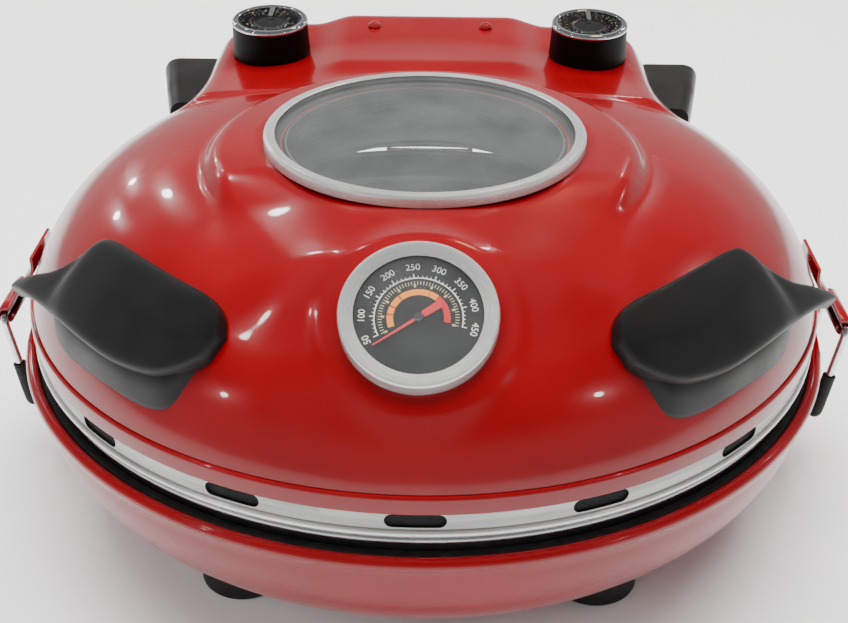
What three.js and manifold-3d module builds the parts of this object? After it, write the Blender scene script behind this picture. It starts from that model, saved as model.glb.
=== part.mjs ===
// A round countertop pizza oven with a hinged, domed lid.
//
// Millimetres, +Z up, front towards -Y. The oven stands on its feet at z = 0 and its bowl's axis is
// the Z axis until the last line, which centres the whole between its front and its rear.

import * as THREE from "three";
import { ConvexGeometry } from "three/addons/geometries/ConvexGeometry.js";
import { mergeVertices } from "three/addons/utils/BufferGeometryUtils.js";
import Module from "manifold-3d";

const wasm = await Module();
wasm.setup();

// ---------- driving sizes ----------

const gap = 0.35; // kept between pieces that touch
const sheet = 1.2; // painted steel sheet
const thinSheet = 0.8; // stainless inner sheet
const largeTurns = 36; // facets round the bowl, the lid and what fits inside them
const mediumTurns = 28; // facets round the window and the gauge
const smallTurns = 20; // facets round knobs and feet
const boltTurns = 10; // facets round screws, wires and holes

const stoneRadius = 155;
const stoneThickness = 12;
const skirtRadius = 172; // vent band, which sets the lid's and the bowl's width
const rimHeight = 77; // top of the bowl's rolled rim above the table
const domeRise = 65; // from the dome's base curve to its crown
const domeFullness = 4.5; // exponent of the dome's radius
const domeShoulder = 1.6; // exponent of the dome's height

// Bowl.
const rimRadius = skirtRadius + 7; // outside of the rolled rim
const rimBead = 2.7; // radius of the roll
const bowlFloorHeight = 11.4;
const bowlFloorRadius = rimRadius - 79;
const bottomOpeningRadius = bowlFloorRadius - 16;
const bottomPlateRadius = bottomOpeningRadius + 10;

const footTop = 30; // before the bowl's curve is cut from it
const footRadius = 19;
const footCircle = bowlFloorRadius + 22.4; // radius at which the feet stand
const footAngle = 37.2; // from the front and from the rear, in degrees

// Pan and stone.
const panFloorHeight = bowlFloorHeight + 18.6;
const panWallRadius = stoneRadius - 9; // below the ledge that carries the stone
const panWidth = skirtRadius - 0.8; // outside radius of the pan's rolled edge
const panTop = rimHeight + 5.6;
const panBead = 2.1;
const ledgeHeight = panTop - 25;

const tubeRadius = 3.5; // heating element
const lowerElementRadius = panWallRadius - 36;
const lowerElementHeight = panFloorHeight + 14;
const leadOffset = 14; // half the distance between an element's two leads

// Lid, from its lower edge up.
const skirtBottom = panTop + 0.6;
const skirtBead = 1.7;
const seamHeight = skirtBottom + 10.8; // lower edge of the painted flange
const skirtTop = seamHeight + 5.8;
const slotCount = 16;
const slotLength = 22;
const slotHeight = 5.4;
const flangeRadius = skirtRadius + sheet + 0.4;
const flangeDepth = 6.5;
const domeRadius = flangeRadius - 0.7;
const domeBase = seamHeight + 2;

const linerRadius = skirtRadius - thinSheet - 1;
const linerTop = domeBase + domeRise - 21;
const upperElementRadius = linerRadius - 65.2;
const upperElementHeight = linerTop - 16;

const windowY = -13; // the window sits a little ahead of the bowl's axis
const windowOpening = 60;
const windowRingRadius = windowOpening + 7.6;
const windowRingInner = windowOpening + 2.8;
const glassThickness = 2.6;
const turretTop = domeBase + domeRise + 5;
const turretTopRadius = windowOpening + 28;
const turretDepth = 18; // how far the turret's rounded side reaches down and out
const turretFootRadius = turretTopRadius + turretDepth;
const turretFoot = turretTop - turretDepth;

const gaugeLean = 34; // degrees from vertical, leaning to the front
const gaugeY = 36.2 - domeRadius; // centre of the gauge's face
const gaugeZ = turretTop - 12.1;
const bezelRadius = 28.3;
const bezelInner = 22.8;
const bezelDepth = 7.4;
const gaugeStemRadius = 4;
const gaugeStemLength = 30;
const pointerLength = 19.5;
const pointerRest = -125; // degrees clockwise from the top of the dial

const knobX = 80.3;
const knobY = domeRadius - 55.2;
const knobRadius = 19;
const knobHeight = 18;
const shaftRadius = 3;
const controlRadius = 17;
const controlHeight = 15;

const deckHeight = turretTop - 9; // where the knobs stand
const deckTilt = 4; // degrees, the deck rises to the rear
const deckWidth = 2 * (knobX + knobRadius + 4.7);
const deckRear = domeRadius - 12.9;
const housingFront = windowY + 77; // inside the turret
const housingRear = deckRear + 6;
const housingWidth = deckWidth + 16;
const housingFloor = seamHeight + 12;
const lampRise = 5; // the deck's raised middle, which carries the lamps
const lampX = 29;
const lampY = deckRear - 19;
const lampRadius = 3.3;

const coverWidth = 116;
const coverHeight = 30;
const coverMiddle = (housingFloor + deckHeight) / 2 + 2;
const glandRadius = 7;
const glandX = -38;

const hingeY = rimRadius + 9;
const hingeZ = rimHeight + 7;
const pinRadius = 2.5;
const earRadius = 6;
const earThickness = 2.5;
const hingeWidth = 50;
const knuckleWidth = 31;

const latchX = flangeRadius + 16.6; // the bail's pivot
const latchZ = seamHeight - 16.5;
const latchDepth = 30; // length of the bracket's curl
const bailDrop = 44.5;
const bailLean = 7.2; // how far the bail's crossbar lies inboard of its pivot
const bailHalfWidth = 18;
const wireRadius = 1.75;
const curlRadius = 4.2;
const sleeveRadius = 2.9;

const handleAngle = 48; // from the front, in degrees
const gripThickness = 9;

// ---------- helpers ----------

const radians = THREE.MathUtils.degToRad;
const root = new THREE.Group();

const finish = (color, roughness, metalness) => () =>
  new THREE.MeshStandardMaterial({ color, roughness, metalness });
const redPaint = finish("#b3101a", 0.25, 0.1);
const stainless = finish("#b9bbbd", 0.3, 0.95);
const steel = finish("#8d9094", 0.4, 0.9);
const chrome = finish("#d8dadd", 0.12, 1);
const blackPlastic = finish("#18181a", 0.6, 0);
const rubber = finish("#101010", 0.85, 0);
const stoneware = finish("#c8b79d", 0.9, 0);
const clearGlass = finish("#8fa0a6", 0.05, 0);
const dialFace = finish("#141414", 0.6, 0);
const redPlastic = finish("#c01818", 0.4, 0);
const lampLens = finish("#7a0d10", 0.2, 0);

// Drops normals and uvs, merges shared vertices, removes empty triangles and turns faces outwards.
function closed(geometry) {
  const bare = geometry.clone();
  for (const name of Object.keys(bare.attributes)) {
    if (name !== "position") bare.deleteAttribute(name);
  }
  bare.clearGroups();
  const merged = mergeVertices(bare, 1e-4);
  const p = merged.attributes.position;
  const corner = (i) => new THREE.Vector3().fromBufferAttribute(p, i);
  const triangles = [];
  let volume = 0;
  for (let i = 0; i < merged.index.count; i += 3) {
    const [a, b, c] = [0, 1, 2].map((k) => merged.index.getX(i + k));
    if (a === b || b === c || c === a) continue;
    triangles.push([a, b, c]);
    volume += corner(a).dot(corner(b).cross(corner(c)));
  }
  const order = volume < 0 ? ([a, b, c]) => [a, c, b] : (t) => t;
  merged.setIndex(triangles.flatMap(order));
  return merged;
}

function toSolid(geometry) {
  const shape = closed(geometry);
  return new wasm.Manifold(
    new wasm.Mesh({
      numProp: 3,
      vertProperties: new Float32Array(shape.attributes.position.array),
      triVerts: new Uint32Array(shape.index.array),
    }),
  );
}

function toGeometry(solid) {
  const mesh = solid.getMesh();
  const geometry = new THREE.BufferGeometry();
  geometry.setAttribute("position", new THREE.BufferAttribute(mesh.vertProperties, 3));
  geometry.setIndex(new THREE.BufferAttribute(mesh.triVerts, 1));
  return geometry;
}

const cut = (solid, ...tools) => tools.reduce((rest, tool) => rest.subtract(tool), solid);
const join = (...solids) => solids.reduce((whole, next) => whole.add(next));

function add(name, shape, material, parent = root) {
  const geometry = shape instanceof THREE.BufferGeometry ? closed(shape) : toGeometry(shape);
  const mesh = new THREE.Mesh(geometry, material());
  mesh.name = name;
  parent.add(mesh);
  return mesh;
}

// A solid of revolution about Z from [radius, height] points.
function turned(points, turns = largeTurns) {
  const profile = points.map(([r, z]) => new THREE.Vector2(r, z));
  return new THREE.LatheGeometry(profile, turns).rotateX(Math.PI / 2);
}

// The same, for a ring whose profile closes on itself.
const turnedRing = (points, turns) => turned([...points, points[0]], turns);

function disc(radius, low, high, turns = smallTurns) {
  return turned([[0, low], [radius, low], [radius, high], [0, high]], turns);
}

function tube(inner, outer, low, high, turns = smallTurns) {
  return turnedRing([[inner, low], [outer, low], [outer, high], [inner, high]], turns);
}

function outline(points) {
  return new THREE.Shape(points.map(([x, y]) => new THREE.Vector2(x, y)));
}

function roundHole(x, y, radius) {
  const hole = new THREE.Path();
  hole.absarc(x, y, radius, 0, 2 * Math.PI);
  return hole;
}

function extruded(shape, depth, curveSegments = 6) {
  return new THREE.ExtrudeGeometry(shape, { depth, bevelEnabled: false, curveSegments });
}

// A shape drawn in (y, z), extruded along X between two places.
function acrossX(shape, from, to, curveSegments) {
  const toWorld = new THREE.Matrix4().makeBasis(
    new THREE.Vector3(0, 1, 0),
    new THREE.Vector3(0, 0, 1),
    new THREE.Vector3(1, 0, 0),
  );
  return extruded(shape, to - from, curveSegments).applyMatrix4(toWorld).translate(from, 0, 0);
}

// A shape drawn in (x, z), extruded along Y between two places.
function acrossY(shape, from, to, curveSegments) {
  const toWorld = new THREE.Matrix4().makeBasis(
    new THREE.Vector3(1, 0, 0),
    new THREE.Vector3(0, 0, 1),
    new THREE.Vector3(0, -1, 0),
  );
  return extruded(shape, to - from, curveSegments).applyMatrix4(toWorld).translate(0, to, 0);
}

function circlePoints(radius, count) {
  return Array.from({ length: count }, (_, i) => {
    const turn = (2 * Math.PI * i) / count;
    return [radius * Math.cos(turn), radius * Math.sin(turn)];
  });
}

// A round bar along a smooth path, with an optional bore.
function bar(points, radius, steps, boreRadius = 0, sides = 6) {
  const section = outline(circlePoints(radius, sides));
  if (boreRadius > 0) {
    const bore = circlePoints(boreRadius, sides).map(([x, y]) => new THREE.Vector2(x, y));
    section.holes.push(new THREE.Path(bore));
  }
  const path = new THREE.CatmullRomCurve3(points, false, "centripetal");
  return new THREE.ExtrudeGeometry(section, { steps, bevelEnabled: false, extrudePath: path });
}

// A closed skin over sections that all have the same number of points, capped at both ends.
function loft(sections) {
  const count = sections[0].length;
  const index = [];
  for (let k = 0; k < sections.length - 1; k += 1) {
    for (let i = 0; i < count; i += 1) {
      const a = k * count + i;
      const b = k * count + ((i + 1) % count);
      index.push(a, b, b + count, a, b + count, a + count);
    }
  }
  const last = (sections.length - 1) * count;
  for (let i = 1; i < count - 1; i += 1) {
    index.push(0, i + 1, i, last, last + i, last + i + 1);
  }
  const geometry = new THREE.BufferGeometry();
  geometry.setAttribute("position", new THREE.Float32BufferAttribute(sections.flat(2), 3));
  geometry.setIndex(index);
  return geometry;
}

function convex(points) {
  return toSolid(new ConvexGeometry(points.map(([x, y, z]) => new THREE.Vector3(x, y, z))));
}

const placed = (geometry, x, y, z) => geometry.translate(x, y, z);
const mirrored = (geometry) => geometry.clone().scale(-1, 1, 1);

// ---------- base ----------

// Quarter of an ellipse from the flat floor up to the rim, drawn from the outside in by `inset`.
function bowlCurve(inset, steps = 5) {
  const side = rimRadius - rimBead - inset;
  const top = rimHeight - 2 * rimBead - 1.6;
  return Array.from({ length: steps + 1 }, (_, i) => {
    const t = (Math.PI / 2) * (i / steps);
    return [
      bowlFloorRadius + (side - bowlFloorRadius) * Math.sin(t),
      bowlFloorHeight + inset + (top - bowlFloorHeight - inset) * (1 - Math.cos(t)),
    ];
  });
}

function beadArc(r, z, radius, fromDegrees, toDegrees, steps) {
  return Array.from({ length: steps + 1 }, (_, i) => {
    const t = radians(fromDegrees + ((toDegrees - fromDegrees) * i) / steps);
    return [r + radius * Math.cos(t), z + radius * Math.sin(t)];
  });
}

function bowlSolid(grow) {
  const curve = bowlCurve(-grow);
  return toSolid(turned([[0, bowlFloorHeight - grow], ...curve, [curve.at(-1)[0], 200], [0, 200]]));
}

function footPlaces() {
  return [footAngle, -footAngle, 180 - footAngle, footAngle - 180].map((angle) => [
    footCircle * Math.sin(radians(angle)),
    -footCircle * Math.cos(radians(angle)),
  ]);
}

function makeBowl() {
  const beadCentre = rimHeight - rimBead;
  const profile = [
    [bottomOpeningRadius, bowlFloorHeight],
    ...bowlCurve(0),
    ...beadArc(rimRadius - rimBead, beadCentre, rimBead, -80, 200, 5),
    ...bowlCurve(sheet).reverse(),
    [bottomOpeningRadius, bowlFloorHeight + sheet],
  ];
  add("base_shell", turnedRing(profile), redPaint);
  const plateTop = bowlFloorHeight - gap;
  add("bottom_plate", disc(bottomPlateRadius, plateTop - sheet, plateTop, largeTurns), steel);
}

function makeFeet() {
  const bowl = bowlSolid(gap);
  footPlaces().forEach(([x, y], i) => {
    const sole = footRadius - 1.5;
    const profile = [[0, 0], [sole, 0], [footRadius, 1.5], [footRadius + 1, footTop], [0, footTop]];
    const body = turned(profile, smallTurns);
    add(`foot_${i + 1}`, cut(toSolid(placed(body, x, y, 0)), bowl), rubber);
  });
}

function makePan() {
  const wall = thinSheet;
  const upper = panWidth - panBead;
  const beadCentre = panTop - panBead;
  const ledge = ledgeHeight - gap;
  const profile = [
    [0, panFloorHeight],
    [panWallRadius - 8, panFloorHeight],
    [panWallRadius, panFloorHeight + 8],
    [panWallRadius, ledge - wall],
    [stoneRadius + 3, ledge - wall],
    [upper, ledge + 8],
    ...beadArc(upper, beadCentre, panBead, -80, 200, 4),
    [upper - wall, ledge + 8.4],
    [stoneRadius + 2.6, ledge],
    [panWallRadius - wall, ledge],
    [panWallRadius - wall, panFloorHeight + 8.3],
    [panWallRadius - 8.3, panFloorHeight + wall],
    [0, panFloorHeight + wall],
  ];
  const leads = [-1, 1].map((side) => {
    const bore = disc(tubeRadius + 1, panWallRadius - 40, panWallRadius + 20, boltTurns);
    return toSolid(bore.rotateX(-Math.PI / 2).translate(side * leadOffset, 0, lowerElementHeight));
  });
  add("base_liner", cut(toSolid(turned(profile)), ...leads), stainless);
  const seal = [upper + gap, rimRadius - 2 * rimBead - gap, rimHeight - 9, rimHeight - 1.5];
  add("rim_gasket", tube(...seal, largeTurns), rubber);
  add("stone", disc(stoneRadius, ledgeHeight, ledgeHeight + stoneThickness, largeTurns), stoneware);
}

// An open ring of tube whose two ends leave at the rear, towards `leadEnd`.
function elementPath(radius, height, leadPoints) {
  const start = 14;
  const arc = Array.from({ length: 25 }, (_, i) => {
    const t = radians(start + ((360 - 2 * start) * i) / 24);
    return new THREE.Vector3(radius * Math.sin(t), radius * Math.cos(t), height);
  });
  const right = leadPoints.map(([y, z]) => new THREE.Vector3(leadOffset, y, z));
  const left = leadPoints.map(([y, z]) => new THREE.Vector3(-leadOffset, y, z)).reverse();
  return [...right, ...arc, ...left];
}

function clipPlate(radius, height, low, high) {
  const plate = outline([[radius - 8, low], [radius + 8, low], [radius + 8, high], [radius - 8, high]]);
  plate.holes.push(roundHole(radius, height, tubeRadius + 0.6));
  return acrossY(plate, -1.5, 1.5);
}

const clipTurns = [90, 210, 330];

function makeLowerHeater() {
  const path = elementPath(lowerElementRadius, lowerElementHeight, [
    [panWallRadius + 10, lowerElementHeight],
    [panWallRadius - 10, lowerElementHeight],
    [lowerElementRadius + 9, lowerElementHeight],
  ]);
  add("lower_element", bar(path, tubeRadius, 40, 0, 8), steel);
  const floor = panFloorHeight + thinSheet + gap;
  clipTurns.forEach((turn, i) => {
    const plate = clipPlate(lowerElementRadius, lowerElementHeight, floor, lowerElementHeight + 7);
    add(`lower_clip_${i + 1}`, plate.rotateZ(radians(turn - 90)), stainless);
  });
}

// ---------- lid ----------

// The dome's outside from its flange to its crown, drawn inwards by `inset`.
function domeCurve(inset, steps = 7) {
  const start = (seamHeight + flangeDepth + 1 - domeBase) / domeRise;
  const first = Math.acos(start ** (domeShoulder / 2));
  return Array.from({ length: steps }, (_, i) => {
    const t = first * (1 - i / steps);
    return [
      (domeRadius - inset) * Math.sin(t) ** (2 / domeFullness),
      domeBase + (domeRise - inset) * Math.cos(t) ** (2 / domeShoulder),
    ];
  });
}

function domeSolid(inset) {
  const foot = seamHeight - (inset > 0 ? 4 : 0);
  const rim = flangeRadius - inset;
  return toSolid(
    turned([
      [0, foot],
      [rim, foot],
      [rim, seamHeight + flangeDepth],
      ...domeCurve(inset),
      [0, domeBase + domeRise - inset],
    ]),
  );
}

// Quarter of an ellipse down from the turret's flat top to its foot.
function turretSolid(inset) {
  const steps = 3;
  const side = Array.from({ length: steps + 1 }, (_, i) => {
    const t = (Math.PI / 2) * (i / steps);
    return [
      turretTopRadius + (turretFootRadius - turretTopRadius) * Math.cos(t) - inset,
      turretFoot + (turretTop - turretFoot - inset) * Math.sin(t),
    ];
  });
  const foot = turretFoot - 20;
  const profile = [[0, foot], [side[0][0], foot], ...side, [0, turretTop - inset]];
  return toSolid(placed(turned(profile), 0, windowY, 0));
}

const gaugeFrame = new THREE.Matrix4()
  .makeRotationX(radians(gaugeLean))
  .setPosition(0, gaugeY, gaugeZ);

function gaugeCircle(radius, depth, count = 16) {
  return circlePoints(radius, count).map(([x, y]) =>
    new THREE.Vector3(x, y, -depth).applyMatrix4(gaugeFrame).toArray(),
  );
}

// The boss that seats the gauge, running back into the turret's flat top.
function gaugeBoss(inset) {
  const seat = bezelDepth + gap + inset;
  const tongue = [
    [-46, windowY - 50],
    [-34, windowY - 66],
    [34, windowY - 66],
    [46, windowY - 50],
  ];
  return convex([
    ...gaugeCircle(bezelRadius + 4.5 - inset, seat),
    ...gaugeCircle(bezelRadius + 12 - inset, seat + 16),
    ...tongue.flatMap(([x, y]) => [
      [x, y, turretTop - inset - 0.2],
      [x * 1.3, y, turretFoot],
    ]),
  ]);
}

function roundedRectangle(halfWidth, front, rear, corner, z) {
  const arc = [0, 30, 60, 90].map(radians);
  const right = arc.map((t) => [
    halfWidth - corner + corner * Math.cos(t),
    rear - corner + corner * Math.sin(t),
    z,
  ]);
  const left = right.map(([x, y]) => [-x, y, z]);
  return [...right, ...left, [halfWidth, front, z], [-halfWidth, front, z]];
}

const deckAt = (y) => deckHeight + (y - knobY) * Math.tan(radians(deckTilt));

// The control housing at the rear: a raised deck over a box with a bevelled rear edge.
function housingSolid(inset) {
  const front = housingFront + inset;
  const deck = roundedRectangle(deckWidth / 2 - inset, front, deckRear - inset, 14, 0).map(([x, y]) => [
    x,
    y,
    deckAt(y) - inset,
  ]);
  const box = [housingFloor + inset, deckHeight - 8].flatMap((z) =>
    roundedRectangle(housingWidth / 2 - inset, front, housingRear - inset, 30, z),
  );
  const rise = roundedRectangle(40 - inset, 88 + inset, deckRear - 1.5 - inset, 8, 0);
  const foot = roundedRectangle(56 - inset, 70 + inset, deckRear - inset, 8, 0);
  return join(
    convex([...deck, ...box]),
    convex([
      ...rise.map(([x, y]) => [x, y, deckAt(y) + lampRise - inset]),
      ...foot.map(([x, y]) => [x, y, deckAt(y) - 0.6 - inset]),
      ...foot.map(([x, y]) => [x, y, deckAt(y) - 12]),
    ]),
  );
}

const lidSolid = (inset) => join(domeSolid(inset), turretSolid(inset), gaugeBoss(inset), housingSolid(inset));

function controlPlace(x, y, rise) {
  return new THREE.Matrix4().makeRotationX(radians(deckTilt)).setPosition(x, y, deckAt(y) + rise);
}

function coverOpening(margin, from, to) {
  const block = new THREE.BoxGeometry(coverWidth - 2 * margin, to - from, coverHeight - 2 * margin);
  return toSolid(block.translate(0, (from + to) / 2, coverMiddle));
}

function makeLidShell() {
  const controls = [-knobX, knobX].map((x) =>
    toSolid(disc(shaftRadius + 1, -20, 20, boltTurns).applyMatrix4(controlPlace(x, knobY, 0))),
  );
  const lamps = [-lampX, lampX].map((x) =>
    toSolid(disc(lampRadius - 0.5, -30, 20, boltTurns).applyMatrix4(controlPlace(x, lampY, lampRise))),
  );
  const stem = toSolid(disc(gaugeStemRadius + gap, -60, 20, boltTurns).applyMatrix4(gaugeFrame));
  const seat = toSolid(disc(bezelRadius + 2, -bezelDepth - gap, 20, mediumTurns).applyMatrix4(gaugeFrame));
  const opening = toSolid(placed(disc(windowOpening, 100, 200, mediumTurns), 0, windowY, 0));
  const cover = coverOpening(4, housingRear - 20, housingRear + 10);
  const cuts = [seat, opening, stem, cover, ...controls, ...lamps];
  add("lid_shell", cut(lidSolid(0), lidSolid(sheet), ...cuts), redPaint);
}

function slotCutter(turn) {
  const half = slotLength / 2 - slotHeight / 2;
  const shape = new THREE.Shape();
  shape.absarc(half, 0, slotHeight / 2, -Math.PI / 2, Math.PI / 2);
  shape.absarc(-half, 0, slotHeight / 2, Math.PI / 2, (3 * Math.PI) / 2);
  const centre = (seamHeight + skirtBottom + 2 * skirtBead) / 2;
  const bar = acrossY(shape, -skirtRadius - 9, -skirtRadius + 9, 3);
  return toSolid(bar.translate(0, 0, centre).rotateZ(turn));
}

function makeSkirt() {
  const wall = thinSheet;
  const middle = skirtRadius - wall / 2;
  const profile = [
    ...beadArc(middle, skirtBottom + skirtBead, skirtBead, 130, 410, 4),
    [skirtRadius, skirtTop],
    [skirtRadius - wall, skirtTop],
  ];
  const slotTurns = Array.from({ length: slotCount }, (_, i) => (2 * Math.PI * i) / slotCount);
  const slots = slotTurns.map(slotCutter);
  add("lid_skirt", cut(toSolid(turnedRing(profile)), ...slots), stainless);
}

// The inner dome: a shallow bowl turned over, flat where the window's sleeve meets it.
function linerSolid(inset) {
  const steps = 5;
  const flat = windowOpening - windowY + 4;
  const side = Array.from({ length: steps + 1 }, (_, i) => {
    const t = (Math.PI / 2) * (i / steps);
    return [
      flat + (linerRadius - inset - flat) * Math.cos(t),
      seamHeight + 4 + (linerTop - inset - seamHeight - 4) * Math.sin(t),
    ];
  });
  const foot = skirtBottom + 2 * skirtBead + 1 - (inset > 0 ? 4 : 0);
  return toSolid(turned([[0, foot], [linerRadius - inset, foot], ...side, [0, linerTop - inset]]));
}

function makeLiner() {
  const opening = toSolid(placed(disc(windowOpening - 3, 100, 200, mediumTurns), 0, windowY, 0));
  const stem = toSolid(disc(gaugeStemRadius + 1, -60, 20, boltTurns).applyMatrix4(gaugeFrame));
  const leads = [-1, 1].map((side) =>
    toSolid(
      disc(tubeRadius + 1, linerTop - 30, linerTop + 20, boltTurns)
        .translate(side * leadOffset, upperElementRadius - 1, 0),
    ),
  );
  add("lid_liner", cut(linerSolid(0), linerSolid(thinSheet), opening, stem, ...leads), stainless);
  const reach = [linerTop + gap, turretTop + 1.2 - gap];
  const sleeve = tube(windowOpening - 2, windowOpening - 1, ...reach, mediumTurns);
  add("window_sleeve", placed(sleeve, 0, windowY, 0), stainless);
}

function makeUpperHeater() {
  const leadY = upperElementRadius - 1;
  const path = elementPath(upperElementRadius, upperElementHeight, [
    [leadY, upperElementHeight + 24],
    [leadY, upperElementHeight + 14],
    [leadY, upperElementHeight + 5],
  ]);
  add("upper_element", bar(path, tubeRadius, 40, 0, 8), steel);
  const ceiling = linerSolid(thinSheet + gap);
  clipTurns.forEach((turn, i) => {
    const plate = clipPlate(upperElementRadius, upperElementHeight, upperElementHeight - 7, linerTop + 5);
    add(`upper_clip_${i + 1}`, toSolid(plate.rotateZ(radians(turn - 90))).intersect(ceiling), stainless);
  });
}

function makeWindow() {
  const group = new THREE.Group();
  group.position.set(0, windowY, turretTop);
  root.add(group);
  const seal = [gap, 1.2];
  const glass = [seal[1] + gap, seal[1] + gap + glassThickness];
  const lip = glass[1] + gap;
  const glassRadius = windowRingRadius - 2.6;
  const skirt = windowRingRadius - 1.4; // the ring reaches down round the seal
  add("window_gasket", tube(windowOpening + 1, skirt - gap, ...seal, mediumTurns), rubber, group);
  add("window_glass", disc(glassRadius, ...glass, mediumTurns), clearGlass, group);
  const ring = [
    [glassRadius + gap, seal[1] + gap],
    [skirt, seal[1] + gap],
    [skirt, gap],
    [windowRingRadius, gap],
    [windowRingRadius, lip],
    [windowRingRadius - 1, lip + 0.8],
    [windowRingInner + 0.8, lip + 0.8],
    [windowRingInner, lip + 0.3],
    [windowRingInner, lip],
    [glassRadius + gap, lip],
  ];
  add("window_ring", turnedRing(ring, mediumTurns), stainless, group);
}

// ---------- gauge ----------

function makeGauge() {
  const group = new THREE.Group();
  group.applyMatrix4(gaugeFrame);
  root.add(group);
  const wall = 1.4;
  const caseOuter = bezelRadius - 0.9;
  const caseInner = caseOuter - wall;
  const lipDepth = 1.4;
  const glass = [-lipDepth - gap - 1, -lipDepth - gap];
  const bezel = [
    [caseOuter + gap, -bezelDepth],
    [bezelRadius, -bezelDepth],
    [bezelRadius, -2.4],
    [bezelRadius - 1.6, -0.4],
    [bezelRadius - 3, 0],
    [bezelInner, -1],
    [bezelInner, -lipDepth],
    [caseOuter + gap, -lipDepth],
  ];
  add("gauge_bezel", turnedRing(bezel, mediumTurns), stainless, group);
  const body = [
    [0, -bezelDepth - gaugeStemLength],
    [gaugeStemRadius - 1, -bezelDepth - gaugeStemLength],
    [gaugeStemRadius, -bezelDepth - gaugeStemLength + 2],
    [gaugeStemRadius, -bezelDepth],
    [caseOuter, -bezelDepth],
    [caseOuter, glass[0]],
    [caseInner, glass[0]],
    [caseInner, -bezelDepth + wall],
    [0, -bezelDepth + wall],
  ];
  add("gauge_case", turned(body, mediumTurns), steel, group);
  const dial = [-bezelDepth + wall + gap, -bezelDepth + wall + gap + 0.6];
  add("gauge_dial", disc(caseInner - gap, ...dial, mediumTurns), dialFace, group);
  add("gauge_glass", disc(caseOuter - 0.4, glass[0] + gap, glass[1], mediumTurns), clearGlass, group);
  const blade = outline([
    [-0.35, pointerLength],
    [-0.7, 0],
    [-1.5, -5],
    [-1.5, -9.5],
    [1.5, -9.5],
    [1.5, -5],
    [0.7, 0],
    [0.35, pointerLength],
  ]);
  const low = dial[1] + gap;
  const pointer = join(
    toSolid(extruded(blade, 0.5).translate(0, 0, low)),
    toSolid(disc(2.4, low, low + 1.3, boltTurns)),
  );
  add("gauge_pointer", toGeometry(pointer).rotateZ(-radians(pointerRest)), redPlastic, group);
  const nutTop = -bezelDepth - 2 * gap - sheet - 0.6;
  const roundBore = toSolid(disc(gaugeStemRadius + gap, nutTop - 5, nutTop + 1, boltTurns));
  const hexagon = toSolid(disc(9, nutTop - 4, nutTop, 6));
  add("gauge_nut", cut(hexagon, roundBore), steel, group);
}

// ---------- handles ----------

// Stations along the grip, from its inner end to its tip: distance along the flange's tangent, then
// [distance out from the flange, height over its lower edge] of the outer edge, the crest and the
// inner edge.
const gripStations = [
  [-53, [-23.6, 42], [-26.1, 45.5], [-29.6, 48.5]],
  [-47, [-15.1, 38.3], [-24.1, 48], [-34.3, 54.5]],
  [-38, [-8.6, 35.3], [-20.1, 48.5], [-35.6, 57.3]],
  [-20, [-3.6, 34], [-17.1, 48], [-33.4, 58]],
  [0, [-2.3, 34.2], [-16.6, 48], [-32, 58.3]],
  [18, [-3.1, 33.4], [-17.1, 47], [-31.6, 57.7]],
  [27, [-4, 32], [-16.8, 45], [-30.1, 55.5]],
  [34, [-5.1, 30.8], [-14.1, 39], [-23.1, 47.5]],
  [44, [-6.1, 29.2], [-11.6, 34.5], [-17.1, 39.5]],
  [58, [-7.1, 26.8], [-10.6, 30], [-14.3, 32.5]],
  [71, [-8.6, 23.4], [-10.2, 24.3], [-12.1, 25.2]],
];

// The block under the grip: [along the tangent, lower outer corner, upper outer corner, upper inner].
const blockStations = [
  [-50, [-16.1, 24.5], [-25.1, 38], [-30.6, 44]],
  [-44, [-10.8, 19], [-13.6, 32.5], [-27.6, 47]],
  [-32, [-7.3, 16.8], [-9.1, 30], [-23.6, 47]],
  [-14, [-5.1, 16.8], [-5.6, 30], [-19.1, 44]],
  [10, [-4.3, 16.3], [-5, 29.8], [-18.1, 43]],
  [27, [-6.3, 16.8], [-6.6, 27.5], [-18.1, 40]],
  [38, [-10.6, 20.5], [-10.1, 25.5], [-16.6, 34]],
];

// A point given along the tangent, out from the axis and up, on the left side of the lid.
function besideLid(along, [out, up]) {
  const a = radians(handleAngle);
  const reach = flangeRadius + out;
  return [
    -Math.sin(a) * reach - Math.cos(a) * along,
    -Math.cos(a) * reach + Math.sin(a) * along,
    seamHeight + up,
  ];
}

// One section of the grip, its top raised by some height to cut all that would stand over it.
function gripSection([along, outer, crest, inner], raise) {
  const t = gripThickness;
  return [
    [outer[0], outer[1] + raise],
    [crest[0], crest[1] + raise],
    [inner[0], inner[1] + raise],
    [inner[0] - 1.5, inner[1] - t],
    [crest[0] - 2, crest[1] - t],
    [outer[0] - 3, outer[1] - t * 0.75],
  ].map((place) => besideLid(along, place));
}

function blockSection([along, lower, upper, inner]) {
  return [
    upper,
    inner,
    [inner[0] - 6, inner[1] - 12],
    [lower[0] - 22, lower[1] - 1],
    lower,
  ].map((place) => besideLid(along, place));
}

function makeHandles() {
  const lid = lidSolid(-gap);
  const gripLoft = (raise) => loft(gripStations.map((station) => gripSection(station, raise)));
  const grip = toSolid(gripLoft(0));
  const above = toSolid(gripLoft(30).translate(0, 0, -gap));
  const block = toSolid(loft(blockStations.map(blockSection)));
  const leftGrip = toGeometry(cut(grip, lid));
  const leftBlock = toGeometry(cut(block, lid, grip, toSolid(gripLoft(0).translate(0, 0, -gap)), above));
  add("handle_left_grip", leftGrip, blackPlastic);
  add("handle_left_base", leftBlock, blackPlastic);
  add("handle_right_grip", mirrored(leftGrip), blackPlastic);
  add("handle_right_base", mirrored(leftBlock), blackPlastic);
}

// ---------- rear of the lid ----------

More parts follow.
